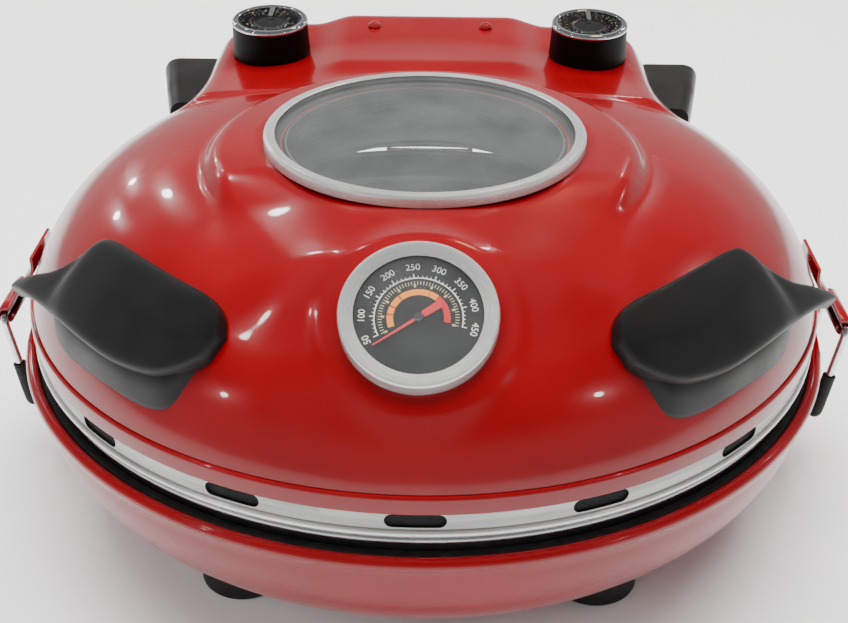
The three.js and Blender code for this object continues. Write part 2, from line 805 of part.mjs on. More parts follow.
function makeStands() {
  const section = (y, inner, outer, low, high, corner) => {
    const arc = [0, 45, 90].map(radians);
    const spots = (cx, cz, from) =>
      arc.map((t) => [cx + corner * Math.cos(t + from), y, cz + corner * Math.sin(t + from)]);
    return [
      ...spots(outer - corner, high - corner, 0),
      ...spots(inner + corner, high - corner, Math.PI / 2),
      ...spots(inner + corner, low + corner, Math.PI),
      ...spots(outer - corner, low + corner, (3 * Math.PI) / 2),
    ];
  };
  const beside = housingWidth / 2;
  const floor = housingFloor;
  const post = toSolid(
    loft([
      section(deckRear - 36, beside - 24, beside + 25, floor + 1, floor + 22, 6),
      section(deckRear + 23, beside + 1, beside + 38, floor, floor + 25, 8),
      section(deckRear + 26, beside + 4, beside + 35, floor + 3, floor + 22, 7),
    ]),
  );
  const right = toGeometry(cut(post, lidSolid(-gap)));
  add("stand_right", right, blackPlastic);
  add("stand_left", mirrored(right), blackPlastic);
}

function makeControl(side, name) {
  const group = new THREE.Group();
  group.applyMatrix4(controlPlace(side * knobX, knobY, 0));
  root.add(group);
  const foot = 0.6;
  const top = foot + knobHeight;
  const skirt = [
    [shaftRadius + gap, foot],
    [knobRadius + 0.6, foot],
    [knobRadius, top - 2.5],
    [knobRadius - 2.2, top - 2.5],
    [knobRadius - 2.2, top - 5],
    [shaftRadius + gap, top - 5],
  ];
  add(`${name}_knob`, turnedRing(skirt, smallTurns), blackPlastic, group);
  const ring = [
    [knobRadius - 3.4, top - 2.5 + gap],
    [knobRadius, top - 2.5 + gap],
    [knobRadius, top - 0.8],
    [knobRadius - 1.2, top],
    [knobRadius - 3.4, top],
  ];
  add(`${name}_knob_ring`, turnedRing(ring, smallTurns), chrome, group);
  const capRadius = knobRadius - 3.4 - gap;
  const cap = [
    [0, top - 5 + gap],
    [knobRadius - 2.2 - gap, top - 5 + gap],
    [knobRadius - 2.2 - gap, top - 2.5 - gap],
    [capRadius, top - 2.5 - gap],
    [capRadius, top - 0.4],
    [0, top - 0.4],
  ];
  const mark = toSolid(new THREE.BoxGeometry(3, capRadius - 3, 1.2).translate(0, capRadius / 2, top - 0.2));
  add(`${name}_knob_cap`, join(toSolid(turned(cap, smallTurns)), mark), blackPlastic, group);
  const below = -sheet - gap;
  add(`${name}_shaft`, disc(shaftRadius, below + gap, top - 5 - gap, boltTurns), steel, group);
  add(`${name}_body`, disc(controlRadius, below - controlHeight, below - gap, smallTurns), steel, group);
}

function makeLamps() {
  [-1, 1].forEach((side) => {
    const group = new THREE.Group();
    group.applyMatrix4(controlPlace(side * lampX, lampY, lampRise));
    root.add(group);
    const lens = [
      [0, -6],
      [lampRadius - 1.2, -6],
      [lampRadius - 1.2, gap],
      [lampRadius, gap],
      [lampRadius - 0.4, 1.4],
      [lampRadius - 1.6, 2.4],
      [0, 2.8],
    ];
    add(side < 0 ? "lamp_left" : "lamp_right", turned(lens, boltTurns), lampLens, group);
  });
}

function makeRearCover() {
  const face = housingRear + gap;
  const thickness = 2;
  const block = new THREE.BoxGeometry(coverWidth, thickness, coverHeight);
  const plate = toSolid(block.translate(0, face + thickness / 2, coverMiddle));
  const intoCover = (shape) => shape.rotateX(-Math.PI / 2).translate(glandX, face, coverMiddle);
  const bore = toSolid(intoCover(disc(glandRadius, -10, 10, smallTurns)));
  add("rear_cover", cut(plate, bore), blackPlastic);
  const neck = glandRadius - gap;
  const profile = [
    [0, -3],
    [neck, -3],
    [neck, thickness + gap],
    [neck + 2, thickness + gap],
    [neck - 1, 12],
    [3.6, 12],
    [3.6, 4],
    [0, 4],
  ];
  add("cord_gland", intoCover(turned(profile, smallTurns)), rubber);
}

// ---------- hinge ----------

function makeHinge() {
  const half = hingeWidth / 2;
  const clearance = gap + 0.4;
  const onBowl = bowlCurve(-clearance, 12).filter(([, z]) => z > hingeZ - 40 && z < hingeZ - 20);
  const wall = 2;
  const plateY = rimRadius + 2;
  const foot = [...onBowl, [plateY, hingeZ - 15], [plateY, hingeZ - earRadius]];
  const back = foot.map(([y, z]) => [y + wall, z - 0.6]).reverse();
  const strap = toSolid(acrossX(outline([...foot, ...back]), -half, half));
  const ears = [-half, half - earThickness].map((x) => {
    const ear = new THREE.Shape();
    ear.absarc(hingeY, hingeZ, earRadius, -Math.PI / 2, (3 * Math.PI) / 4);
    ear.lineTo(plateY + 0.3, hingeZ - 4);
    ear.lineTo(plateY + 0.3, hingeZ - 16);
    ear.lineTo(hingeY - 4, hingeZ - 16);
    ear.holes.push(roundHole(hingeY, hingeZ, pinRadius + gap));
    return toSolid(acrossX(ear, x, x + earThickness, 8));
  });
  add("hinge_base_bracket", join(strap, ...ears), steel);

  const head = pinRadius + 1.5;
  const end = half + 2;
  const shank = [[0, -end], [pinRadius, -end], [pinRadius, half + gap]];
  const pin = turned([...shank, [head, half + gap], [head, end], [0, end]], boltTurns).rotateY(Math.PI / 2);
  add("hinge_pin", pin.translate(0, hingeY, hingeZ), steel);

  const knuckle = new THREE.Shape();
  const face = flangeRadius + 0.6;
  knuckle.absarc(hingeY, hingeZ, earRadius - 0.6, -Math.PI * 0.6, Math.PI * 0.35);
  knuckle.lineTo(face + 2.4, hingeZ + 24);
  knuckle.lineTo(face + 2.4, hingeZ + 36);
  knuckle.lineTo(face, hingeZ + 36);
  knuckle.lineTo(face, hingeZ + 12);
  knuckle.holes.push(roundHole(hingeY, hingeZ, pinRadius + gap));
  const arm = toSolid(acrossX(knuckle, -knuckleWidth / 2, knuckleWidth / 2, 8));
  add("hinge_lid_bracket", cut(arm, lidSolid(-gap)), steel);
}

// ---------- side latches ----------

function latchBracket() {
  const face = flangeRadius + 0.5;
  const wall = 1.8;
  const strip = outline([
    [face, seamHeight + 10],
    [face, seamHeight + 1],
    [latchX - 11.2, latchZ + 14.5],
    [latchX - 4, latchZ + 3.5],
    [latchX - 2.2, latchZ - 0.5],
    [latchX + 1.3, latchZ - 0.5],
    [latchX + 0.2, latchZ + 4.5],
    [latchX - 9.2, latchZ + 17],
    [face + wall, seamHeight + 5],
    [face + wall, seamHeight + 10],
  ]);
  const half = latchDepth / 2;
  const bore = wireRadius + gap + 0.1;
  const ontoPivot = (shape) => shape.rotateX(Math.PI / 2).translate(latchX, 0, latchZ);
  const curl = ontoPivot(tube(bore, curlRadius, -half, half, 16));
  const eye = ontoPivot(disc(bore, -half - 5, half + 5, 16));
  const plate = cut(toSolid(acrossY(strip, -half, half)), toSolid(eye));
  return toGeometry(join(plate, toSolid(curl)));
}

// One side of the bail, from its foot in the curl down to the crossbar, in (y, share of the drop).
function bailPoints() {
  const half = bailHalfWidth;
  const oneSide = [
    [3, 0],
    [half - 3, 0],
    [half - 0.4, 0.02],
    [half, 0.09],
    [half, 0.5],
    [half, 0.9],
    [half - 0.6, 0.97],
    [half - 4, 1],
    [3, 1],
  ];
  const all = [...oneSide, ...oneSide.map(([y, drop]) => [-y, drop]).reverse()];
  return all.map(([y, drop]) => new THREE.Vector3(latchX - bailLean * drop, y, latchZ - bailDrop * drop));
}

function makeLatches() {
  const bracket = latchBracket();
  const points = bailPoints();
  const bail = toGeometry(toSolid(bar(points, wireRadius, 36)));
  const gripped = points.filter((p) => p.z < latchZ - bailDrop * 0.45);
  const sleeve = toGeometry(toSolid(bar(gripped, sleeveRadius, 18, wireRadius + gap + 0.3)));
  add("latch_bracket_right", bracket, redPaint);
  add("latch_bracket_left", mirrored(bracket), redPaint);
  add("latch_bail_right", bail, chrome);
  add("latch_bail_left", mirrored(bail), chrome);
  add("latch_sleeve_right", sleeve, rubber);
  add("latch_sleeve_left", mirrored(sleeve), rubber);
}

// ---------- assembly ----------

makeBowl();
makeFeet();
makePan();
makeLowerHeater();
makeLidShell();
makeSkirt();
makeLiner();
makeUpperHeater();
makeWindow();
makeGauge();
makeHandles();
makeStands();
makeControl(-1, "thermostat");
makeControl(1, "timer");
makeLamps();
makeRearCover();
makeHinge();
makeLatches();

// Centres the oven between its rim's front and its hinge's rear.
root.position.y = (rimRadius - (hingeY + earRadius)) / 2;

export default root;
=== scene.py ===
"""The looks of a round countertop pizza oven: a hinged domed lid over a bowl with a baking stone.

Sizes are in millimetres from the bowl's axis, z up from the table and the front towards -y.
put() turns them into metres in the frame's own place.
"""

import math

import bmesh
import bpy
import numpy as np
from mathutils import Matrix, Vector


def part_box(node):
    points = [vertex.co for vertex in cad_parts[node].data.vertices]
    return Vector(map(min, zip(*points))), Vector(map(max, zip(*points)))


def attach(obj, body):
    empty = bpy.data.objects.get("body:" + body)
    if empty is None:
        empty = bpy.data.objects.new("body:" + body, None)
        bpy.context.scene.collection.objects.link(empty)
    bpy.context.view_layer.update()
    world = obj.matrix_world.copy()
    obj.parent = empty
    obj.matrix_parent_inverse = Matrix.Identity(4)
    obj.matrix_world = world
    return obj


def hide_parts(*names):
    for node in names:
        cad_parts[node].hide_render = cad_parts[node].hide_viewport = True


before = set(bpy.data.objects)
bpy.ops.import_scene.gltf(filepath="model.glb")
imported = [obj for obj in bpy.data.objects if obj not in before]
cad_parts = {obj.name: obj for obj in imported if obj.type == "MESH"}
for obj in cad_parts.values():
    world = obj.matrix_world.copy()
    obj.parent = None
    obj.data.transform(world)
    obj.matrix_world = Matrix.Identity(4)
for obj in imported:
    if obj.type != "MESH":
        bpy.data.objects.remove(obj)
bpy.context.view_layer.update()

MM = 0.001
TURN = 2 * math.pi


def centre_of(node):
    low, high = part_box(node)
    return (np.array(low) + np.array(high)) / 2 / MM


def size_of(node):
    low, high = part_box(node)
    return (np.array(high) - np.array(low)) / MM


AXIS_Y = centre_of("base_shell")[1]  # the bowl's axis, in the frame


# ---------- camera ----------

def make_camera():
    """The camera of a person standing in front of a table, looking down at the lid."""
    camera = bpy.data.objects.new("camera", bpy.data.cameras.new("camera"))
    bpy.context.scene.collection.objects.link(camera)
    camera.data.lens = 56.32
    camera.data.sensor_width = 36
    aside, down, tilt = math.radians(0.8), math.radians(30.31), math.radians(0.46)
    turn = Matrix.Rotation(aside, 4, "Z") @ Matrix.Rotation(math.pi / 2 - down, 4, "X")
    turn = turn @ Matrix.Rotation(tilt, 4, "Z")
    distance, height = 532.0, 385.1
    place = Vector((math.sin(aside) * distance, -math.cos(aside) * distance + AXIS_Y, height)) * MM
    camera.matrix_world = Matrix.Translation(place) @ turn
    camera.data.clip_start = 0.01
    bpy.context.scene.camera = camera


make_camera()


# ---------- surfaces ----------

def grid_faces(rows, cols, wrap_rows=False, wrap_cols=False):
    """The quads of a grid of points, with the unwrapped row and column of each corner."""
    i, j = np.meshgrid(
        np.arange(rows if wrap_rows else rows - 1), np.arange(cols if wrap_cols else cols - 1), indexing="ij"
    )
    i, j = i.ravel(), j.ravel()
    corner_rows = np.stack([i, i, i + 1, i + 1], axis=1)
    corner_cols = np.stack([j, j + 1, j + 1, j], axis=1)
    return (corner_rows % rows) * cols + corner_cols % cols, corner_rows, corner_cols


def signed_volume(points, faces):
    """Six times the volume: the sum of the tetrahedra from the origin to each half of each quad."""
    a, b, c, d = (points[faces[:, k]] for k in range(4))
    return np.einsum("ij,ij->", a, np.cross(b, c)) + np.einsum("ij,ij->", a, np.cross(c, d))


def moved(points, place):
    """Points carried by a 4 by 4 placing matrix."""
    return points @ place[:3, :3].T + place[:3, 3]


def placing(turn_x=0.0, at=(0, 0, 0), turn_z=0.0):
    """A placing matrix: a turn about Z, then a lean about X, then a shift, angles in degrees."""
    place = Matrix.Rotation(math.radians(turn_x), 4, "X") @ Matrix.Rotation(math.radians(turn_z), 4, "Z")
    place = np.array(place)
    place[:3, 3] = at
    return place


def put(name, points, faces, material, body, replaces=(), uvs=None, crease=38):
    """Makes a closed mesh of quads from points in mm, faces turned outwards, and puts it on a body."""
    points = np.asarray(points, float).reshape(-1, 3)
    if signed_volume(points, faces) < 0:
        faces = faces[:, ::-1]
        uvs = None if uvs is None else uvs[:, ::-1]
    mesh = bpy.data.meshes.new(name)
    mesh.vertices.add(len(points))
    mesh.vertices.foreach_set("co", ((points + [0, AXIS_Y, 0]) * MM).ravel())
    mesh.loops.add(faces.size)
    mesh.loops.foreach_set("vertex_index", faces.ravel())
    mesh.polygons.add(len(faces))
    mesh.polygons.foreach_set("loop_start", np.arange(len(faces)) * 4)
    mesh.update(calc_edges=True)
    if uvs is not None:
        layer = mesh.uv_layers.new(name="surface")
        layer.data.foreach_set("uv", uvs.ravel())
    weld(mesh)
    mesh.polygons.foreach_set("use_smooth", np.ones(len(mesh.polygons), bool))
    mesh.set_sharp_from_angle(angle=math.radians(crease))
    piece = bpy.data.objects.new(name, mesh)
    bpy.context.scene.collection.objects.link(piece)
    piece.data.materials.append(material)
    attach(piece, body)
    if replaces:
        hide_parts(*replaces)
    return piece


def weld(mesh):
    """Merges the points that meet at seams and poles, and drops the empty faces this leaves."""
    shape = bmesh.new()
    shape.from_mesh(mesh)
    bmesh.ops.remove_doubles(shape, verts=shape.verts, dist=2e-7)
    bmesh.ops.dissolve_degenerate(shape, edges=shape.edges, dist=1e-7)
    shape.to_mesh(mesh)
    shape.free()


def surface_uvs(points, rows, cols):
    """Metres along the columns and along the rows of a grid, for patterns that follow the surface."""
    grid = points.reshape(points.shape[0], points.shape[1], 3)
    along = np.linalg.norm(np.diff(grid, axis=0, append=grid[:1]), axis=2).mean(axis=1)
    down = np.concatenate([[0], np.cumsum(along)])
    around = np.linalg.norm(np.diff(grid, axis=1, append=grid[:, :1]), axis=2).mean(axis=0)
    across = np.concatenate([[0], np.cumsum(around)])
    return np.stack([across[cols], down[rows]], axis=2) * MM


def surface(name, points, material, body, replaces=(), wrap_rows=False, wrap_cols=True, place=None,
            crease=38):
    """A grid of points, rows by columns, as one closed mesh."""
    points = np.asarray(points, float)
    faces, rows, cols = grid_faces(points.shape[0], points.shape[1], wrap_rows, wrap_cols)
    uvs = surface_uvs(points, rows, cols)
    if place is not None:
        points = moved(points, place)
    return put(name, points, faces, material, body, replaces, uvs, crease)


def rounded(points, radius, steps=4, closed=False):
    """A polyline whose corners become small quadratic curves. radius is one number or one a corner."""
    points = np.asarray(points, float)
    count = len(points)
    radii = np.broadcast_to(radius, count)
    line = []
    for k, corner in enumerate(points):
        if not closed and k in (0, count - 1):
            line.append(corner)
            continue
        before, after = points[k - 1] - corner, points[(k + 1) % count] - corner
        reach = min(radii[k], 0.48 * np.linalg.norm(before), 0.48 * np.linalg.norm(after))
        if reach < 1e-6:
            line.append(corner)
            continue
        start = corner + before / np.linalg.norm(before) * reach
        end = corner + after / np.linalg.norm(after) * reach
        for t in np.linspace(0, 1, steps + 1):
            line.append((1 - t) ** 2 * start + 2 * t * (1 - t) * corner + t**2 * end)
    return np.array(line)


def arc(centre, radius, start, end, steps):
    """Points on a circle from one angle to another, in degrees."""
    t = np.radians(np.linspace(start, end, steps + 1))
    return np.stack([centre[0] + radius * np.cos(t), centre[1] + radius * np.sin(t)], axis=1)


def turned(name, profile, material, body, replaces=(), closed=False, place=None, turns=160, crease=38):
    """A solid of revolution about Z: [radius, height] turned through a full circle."""
    profile = np.asarray(profile, float)
    angle = TURN * np.arange(turns) / turns
    r, z = profile[:, :1], profile[:, 1:]
    points = np.stack([r * np.sin(angle), -r * np.cos(angle), z + 0 * angle], axis=2)
    return surface(name, points, material, body, replaces, closed, True, place, crease)


def smooth_line(points, count):
    """A centripetal-like spline through points: Catmull-Rom pieces evaluated at even steps."""
    points = np.asarray(points, float)
    padded = np.concatenate([2 * points[:1] - points[1:2], points, 2 * points[-1:] - points[-2:-1]])
    s = np.linspace(0, len(points) - 1, count)
    k = np.minimum(s.astype(int), len(points) - 2)
    t = (s - k).reshape((-1,) + (1,) * (points.ndim - 1))
    a, b, c, d = padded[k], padded[k + 1], padded[k + 2], padded[k + 3]
    return 0.5 * (2 * b + (c - a) * t + (2 * a - 5 * b + 4 * c - d) * t**2 + (3 * b - a - 3 * c + d) * t**3)


def wire(name, path, radius, across, material, body, replaces=(), sides=20, bore=0.0):
    """A round bar along a path: circles square to it, whose first radius lies towards `across`."""
    path = np.asarray(path, float)
    ahead = np.gradient(path, axis=0)
    ahead /= np.linalg.norm(ahead, axis=1, keepdims=True)
    across = np.broadcast_to(across, path.shape)
    side = across - ahead * np.einsum("ij,ij->i", across, ahead)[:, None]
    side /= np.linalg.norm(side, axis=1, keepdims=True)
    other = np.cross(ahead, side)
    angle = TURN * np.arange(sides) / sides
    ring = side[:, None] * np.cos(angle)[None, :, None] + other[:, None] * np.sin(angle)[None, :, None]
    body_rings = path[:, None] + ring * radius
    if bore > 0:
        return surface(name, np.concatenate([body_rings, (path[:, None] + ring * bore)[::-1]]), material,
                       body,
                       replaces, True)
    lead = radius * 0.35
    rows = [path[0] + ring[0] * 0 - ahead[0] * lead, path[0] + ring[0] * radius * 0.75 - ahead[0] * lead]
    tail = [path[-1] + ring[-1] * radius * 0.75 + ahead[-1] * lead,
            path[-1] + ring[-1] * 0 + ahead[-1] * lead]
    points = np.concatenate([np.array(rows), body_rings, np.array(tail)])
    return surface(name, points, material, body, replaces)


# ---------- materials ----------

def linear(code):
    """An sRGB colour such as "#b3101a" as linear red, green, blue and one."""
    values = [int(code[k:k + 2], 16) / 255 for k in (1, 3, 5)]
    return [v / 12.92 if v <= 0.04045 else ((v + 0.055) / 1.055) ** 2.4 for v in values] + [1.0]


def new_material(name, **settings):
    """A material whose shader has these settings on its own sockets."""
    material = bpy.data.materials.new(name)
    material.use_nodes = True
    shader = material.node_tree.nodes["Principled BSDF"]
    for socket, value in settings.items():
        shader.inputs[socket.replace("_", " ")].default_value = value
    return material, shader


def node(material, kind, inputs=None, **settings):
    """Adds a node, sets what it is told and links or sets its inputs."""
    made = material.node_tree.nodes.new(kind)
    for key, value in settings.items():
        setattr(made, key, value)
    for socket, value in (inputs or {}).items():
        if isinstance(value, bpy.types.NodeSocket):
            material.node_tree.links.new(value, made.inputs[socket])
        else:
            made.inputs[socket].default_value = value
    return made


def link(material, output, shader, socket):
    material.node_tree.links.new(output, shader.inputs[socket])


def coordinates(material, kind="Object", scale=(1, 1, 1)):
    """Object or surface coordinates in millimetres, times a scale for each direction."""
    source = node(material, "ShaderNodeTexCoord").outputs["UV" if kind == "UV" else "Object"]
    per_mm = [s / MM for s in scale]
    return node(material, "ShaderNodeMapping", {"Vector": source, "Scale": per_mm}).outputs["Vector"]


def shade(material, amount, stops):
    """Colours for an amount from 0 to 1, blended between the given stops."""
    ramp = node(material, "ShaderNodeValToRGB", {"Fac": amount})
    while len(ramp.color_ramp.elements) < len(stops):
        ramp.color_ramp.elements.new(0.5)
    for element, (position, code) in zip(ramp.color_ramp.elements, stops):
        element.position = position
        element.color = linear(code) if isinstance(code, str) else [code, code, code, 1]
    return ramp.outputs["Color"]


def noise(material, vector, scale=1.0, detail=3.0, roughness=0.5):
    return node(material, "ShaderNodeTexNoise",
                {"Vector": vector, "Scale": scale, "Detail": detail, "Roughness": roughness}).outputs["Fac"]


def bump(material, height, strength, depth_mm, before=None):
    inputs = {"Height": height, "Strength": strength, "Distance": depth_mm * MM}
    if before is not None:
        inputs["Normal"] = before
    return node(material, "ShaderNodeBump", inputs).outputs["Normal"]


def baked_paint():
    """Heat-resistant red enamel, sprayed on pressed steel and stoved: a deep red under a wet gloss.

    The eye sees faint orange peel about 3 mm across and a slow wave left by the press.
    """
    material, shader = new_material(
        "baked_red_enamel", Metallic=0.0, Roughness=0.2, IOR=1.4, Coat_Weight=0.45, Coat_Roughness=0.035,
        Coat_IOR=1.5, Specular_IOR_Level=0.35,
    )
    place = coordinates(material)
    tone = noise(material, place, 0.02, 2.0)
    link(material, shade(material, tone, [(0.3, "#76020a"), (0.7, "#80030c")]), shader, "Base Color")
    peel = noise(material, place, 0.33, 2.0)
    press = noise(material, place, 0.022, 1.0)
    slow = bump(material, press, 0.35, 1.6)
    link(material, bump(material, peel, 0.06, 0.12, slow), shader, "Normal")
    link(material, bump(material, peel, 0.04, 0.1, slow), shader, "Coat Normal")
    link(material, shade(material, noise(material, place, 0.08, 4.0), [(0.3, 0.17), (0.75, 0.26)]), shader,
         "Roughness")
    return material


def rolled_stainless(name, bright, dull, roughness, grain, metallic=1.0):
    """Rolled or spun stainless: fine lines run along the strip, with a few duller streaks.

    A satin finish scatters much of the light, so it is given less than full metallic reflection.
    """
    material, shader = new_material(name, Metallic=metallic, Roughness=roughness)
    lines = coordinates(material, "UV", (0.02, 1.0, 1.0))
    fine = noise(material, lines, grain, 4.0, 0.7)
    broad = noise(material, coordinates(material, "UV", (0.012, 0.12, 1.0)), 1.0, 3.0)
    link(material, shade(material, broad, [(0.3, dull), (0.72, bright)]), shader, "Base Color")
    link(material, shade(material, fine, [(0.25, roughness * 0.75), (0.8, roughness * 1.35)]), shader,
         "Roughness")
    link(material, bump(material, fine, 0.18, 0.05), shader, "Normal")
    return material


def plated_steel(name, light, dark, roughness):
    """Zinc-plated or bare steel: cloudy grey with a fine grain and duller patches."""
    material, shader = new_material(name, Metallic=1.0, Roughness=roughness)
    place = coordinates(material)
    cloud = noise(material, place, 0.12, 5.0, 0.6)
    link(material, shade(material, cloud, [(0.3, dark), (0.7, light)]), shader, "Base Color")
    link(material, shade(material, cloud, [(0.2, roughness * 1.3), (0.8, roughness * 0.8)]), shader,
         "Roughness")
    link(material, bump(material, noise(material, place, 1.6, 3.0), 0.12, 0.06), shader, "Normal")
    return material


def polished_chrome():
    """Decorative chrome plate: mirror bright, with faint rub marks."""
    material, shader = new_material("polished_chrome", Metallic=1.0, Roughness=0.08)
    place = coordinates(material)
    marks = noise(material, place, 0.5, 5.0)
    link(material, shade(material, marks, [(0.3, "#c9cbcf"), (0.7, "#e4e5e8")]), shader, "Base Color")
    link(material, shade(material, marks, [(0.3, 0.06), (0.8, 0.14)]), shader, "Roughness")
    return material


def moulded_phenolic(name, code, lighter, roughness, sheen):
    """Black phenolic handle plastic from a fine-grained mould: soft sheen over a 0.6 mm texture."""
    material, shader = new_material(name, Roughness=roughness, IOR=1.5, Specular_IOR_Level=sheen)
    place = coordinates(material)
    tone = noise(material, place, 0.06, 3.0)
    link(material, shade(material, tone, [(0.3, code), (0.75, lighter)]), shader, "Base Color")
    grain = noise(material, place, 1.6, 2.0)
    link(material, shade(material, tone, [(0.25, roughness * 0.85), (0.8, roughness * 1.15)]), shader,
         "Roughness")
    link(material, bump(material, grain, 0.14, 0.09), shader, "Normal")
    return material


def moulded_rubber():
    """Black nitrile rubber: dull, slightly dusty, with a fine moulded skin."""
    material, shader = new_material("moulded_rubber", Roughness=0.7, IOR=1.52, Specular_IOR_Level=0.35)
    place = coordinates(material)
    dust = noise(material, place, 0.35, 4.0)
    link(material, shade(material, dust, [(0.4, "#121212"), (0.85, "#2a2927")]), shader, "Base Color")
    link(material, bump(material, noise(material, place, 1.2, 2.0), 0.2, 0.1), shader, "Normal")
    return material


def cordierite():
    """Unglazed pressed cordierite: warm grey, peppered with grains of 0.5 to 2 mm and open pores."""
    material, shader = new_material("cordierite_stone", Roughness=0.92, IOR=1.5, Specular_IOR_Level=0.25)
    place = coordinates(material)
    grains = noise(material, place, 0.9, 5.0, 0.65)
    stain = noise(material, place, 0.018, 3.0)
    specks = shade(material, grains, [(0.35, "#5f5e5c"), (0.5, "#7b7a78"), (0.68, "#93918e")])
    clouds = shade(material, stain, [(0.3, "#706f6d"), (0.7, "#888683")])
    mixed = node(material, "ShaderNodeMix", {"Factor": 0.45}, data_type="RGBA")
    material.node_tree.links.new(specks, mixed.inputs[6])
    material.node_tree.links.new(clouds, mixed.inputs[7])
    link(material, mixed.outputs[2], shader, "Base Color")
    link(material, bump(material, grains, 0.5, 0.25), shader, "Normal")
    return material


def tempered_glass(name, glare_alpha):
    """A clear tempered pane with its sheen, under a faint mottled grey film that is painted reflection
    standing in for glare; the rest of the light passes.
    """
    material, shader = new_material(name, Roughness=0.03, IOR=1.52, Specular_IOR_Level=1.0)
    glare_film = noise(material, coordinates(material), 0.05, 4.0)
    # The pale grey colour at low alpha is painted reflection: a haze standing in for glare on the pane.
    link(material, shade(material, glare_film, [(0.3, "#a9adac"), (0.8, "#c3c6c5")]), shader, "Base Color")
    link(material, shade(material, glare_film, [(0.3, glare_alpha * 0.9), (0.8, glare_alpha * 1.1)]), shader, "Alpha")
    return material


def printed_ink(name, code, roughness=0.5):
    """Screen-printed enamel ink: flat, even colour with a barely uneven edge of gloss."""
    material, shader = new_material(name, Roughness=roughness, IOR=1.48)
    tone = noise(material, coordinates(material), 0.8, 3.0)
    r, g, b, _ = linear(code)
    dim = [0.88 * c for c in (r, g, b)] + [1]
    ramp = node(material, "ShaderNodeValToRGB", {"Fac": tone})
    ramp.color_ramp.elements[0].color = dim
    ramp.color_ramp.elements[1].color = (r, g, b, 1)
    link(material, ramp.outputs["Color"], shader, "Base Color")
    link(material, shade(material, tone, [(0.3, roughness * 0.9), (0.8, roughness * 1.1)]), shader,
         "Roughness")
    return material


def lamp_lens():
    """A moulded polycarbonate lens, tinted dark red and polished."""
    material, shader = new_material(
        "tinted_polycarbonate", Roughness=0.1, IOR=1.58, Transmission_Weight=0.35, Coat_Weight=0.6,
    )
    depth = noise(material, coordinates(material), 0.4, 2.0)
    link(material, shade(material, depth, [(0.3, "#7a0206"), (0.8, "#a30a10")]), shader, "Base Color")
    return material


paint = baked_paint()
band_steel = rolled_stainless("rolled_stainless", "#a8a8a7", "#7a7a79", 0.3, 9.0)
spun_steel = rolled_stainless("spun_stainless", "#c4c6c8", "#8f9296", 0.3, 5.0)
satin_steel = rolled_stainless("satin_stainless", "#dededc", "#bfbfbe", 0.24, 6.0, 0.6)
zinc = plated_steel("zinc_plated_steel", "#a9abae", "#75787c", 0.38)
sheath = plated_steel("heater_sheath", "#6d6c6e", "#3f3d3c", 0.5)
chrome = polished_chrome()
handle_plastic = moulded_phenolic("moulded_phenolic", "#100f0f", "#161515", 0.46, 0.3)
knob_plastic = moulded_phenolic("knob_phenolic", "#030303", "#070606", 0.5, 0.12)
cap_plastic = moulded_phenolic("gloss_knob_cap", "#050505", "#0d0d0d", 0.12, 0.6)
rubber = moulded_rubber()
# Flat black ink used as painted shade behind the vents.
vent_shade_black = printed_ink("vent_painted_shade", "#050505", 0.9)
stoneware = cordierite()
# Both panes carry a faint grey film of painted reflection.
window_glass = tempered_glass("tempered_glass", 0.09)
dial_glass = tempered_glass("gauge_crystal", 0.05)
dial_ink = printed_ink("dial_black", "#161616", 0.55)
white_ink = printed_ink("white_ink", "#e9e7e0")
orange_ink = printed_ink("orange_ink", "#f08a1e")
red_ink = printed_ink("red_ink", "#c4181c")
pointer_paint = printed_ink("pointer_enamel", "#c5252b", 0.32)
lens = lamp_lens()


# ---------- bowl ----------

RIM = size_of("base_shell")[0] / 2  # outside of the bowl's rolled rim
RIM_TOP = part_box("base_shell")[1][2] / MM
BOWL_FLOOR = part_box("base_shell")[0][2] / MM
ROLL = 2.7  # radius of the rolled rim
SHEET = 1.2
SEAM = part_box("lid_shell")[0][2] / MM  # lower edge of the lid's flange


def bowl_line(inset):
    """A quarter of an ellipse from the flat floor at radius 100 up to the rim."""
    side, top = RIM - ROLL - inset, RIM_TOP - 2 * ROLL - 1.6
    t = np.linspace(0, math.pi / 2, 29)
    low = BOWL_FLOOR + inset
    return np.stack([100 + (side - 100) * np.sin(t), low + (top - low) * (1 - np.cos(t))], axis=1)


def make_bowl():
    roll = arc((RIM - ROLL, RIM_TOP - ROLL), ROLL, -75, 190, 14)
    profile = np.concatenate([[[84, BOWL_FLOOR]], bowl_line(0), roll, bowl_line(SHEET)[::-1],
                              [[84, BOWL_FLOOR + SHEET]]])
    turned("bowl", profile, paint, "base", ["base_shell"], closed=True, turns=256)
    low, high = (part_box("bottom_plate")[k][2] / MM for k in (0, 1))
    plate = rounded([[0, low], [60, low], [64, low + 1.4], [84, low + 1.4], [88, low], [94, low], [94, high],
                     [88, high], [84, high], [64, high], [60, high], [0, high]], 1.2)
    turned("bottom_cover", plate, zinc, "base", ["bottom_plate"])


def make_foot(name):
    """A rubber foot: a short disc with a rounded, hollowed sole, sunk into the bowl's curve."""
    x, y, _ = centre_of(name)
    wide = size_of(name)[0] / 2 - 1
    profile = rounded([[0, 1], [wide - 7, 1], [wide - 6, 0], [wide - 1.6, 0], [wide - 0.2, 1.4],
                       [wide + 0.8, 30], [0, 30]],
                      [0, 0.8, 0.8, 1, 1.5, 1, 0], 5)
    angle = TURN * np.arange(96) / 96
    r, z = profile[:, :1], profile[:, 1:]
    points = np.stack([x + r * np.cos(angle), y - AXIS_Y + r * np.sin(angle), z + 0 * angle], axis=2)
    reach = np.hypot(points[..., 0], points[..., 1])
    curve = bowl_line(0)
    ceiling = np.interp(reach, curve[:, 0], curve[:, 1]) + 0.4
    points[..., 2] = np.minimum(points[..., 2], ceiling)
    surface("rubber_" + name, points, rubber, "base", [name])


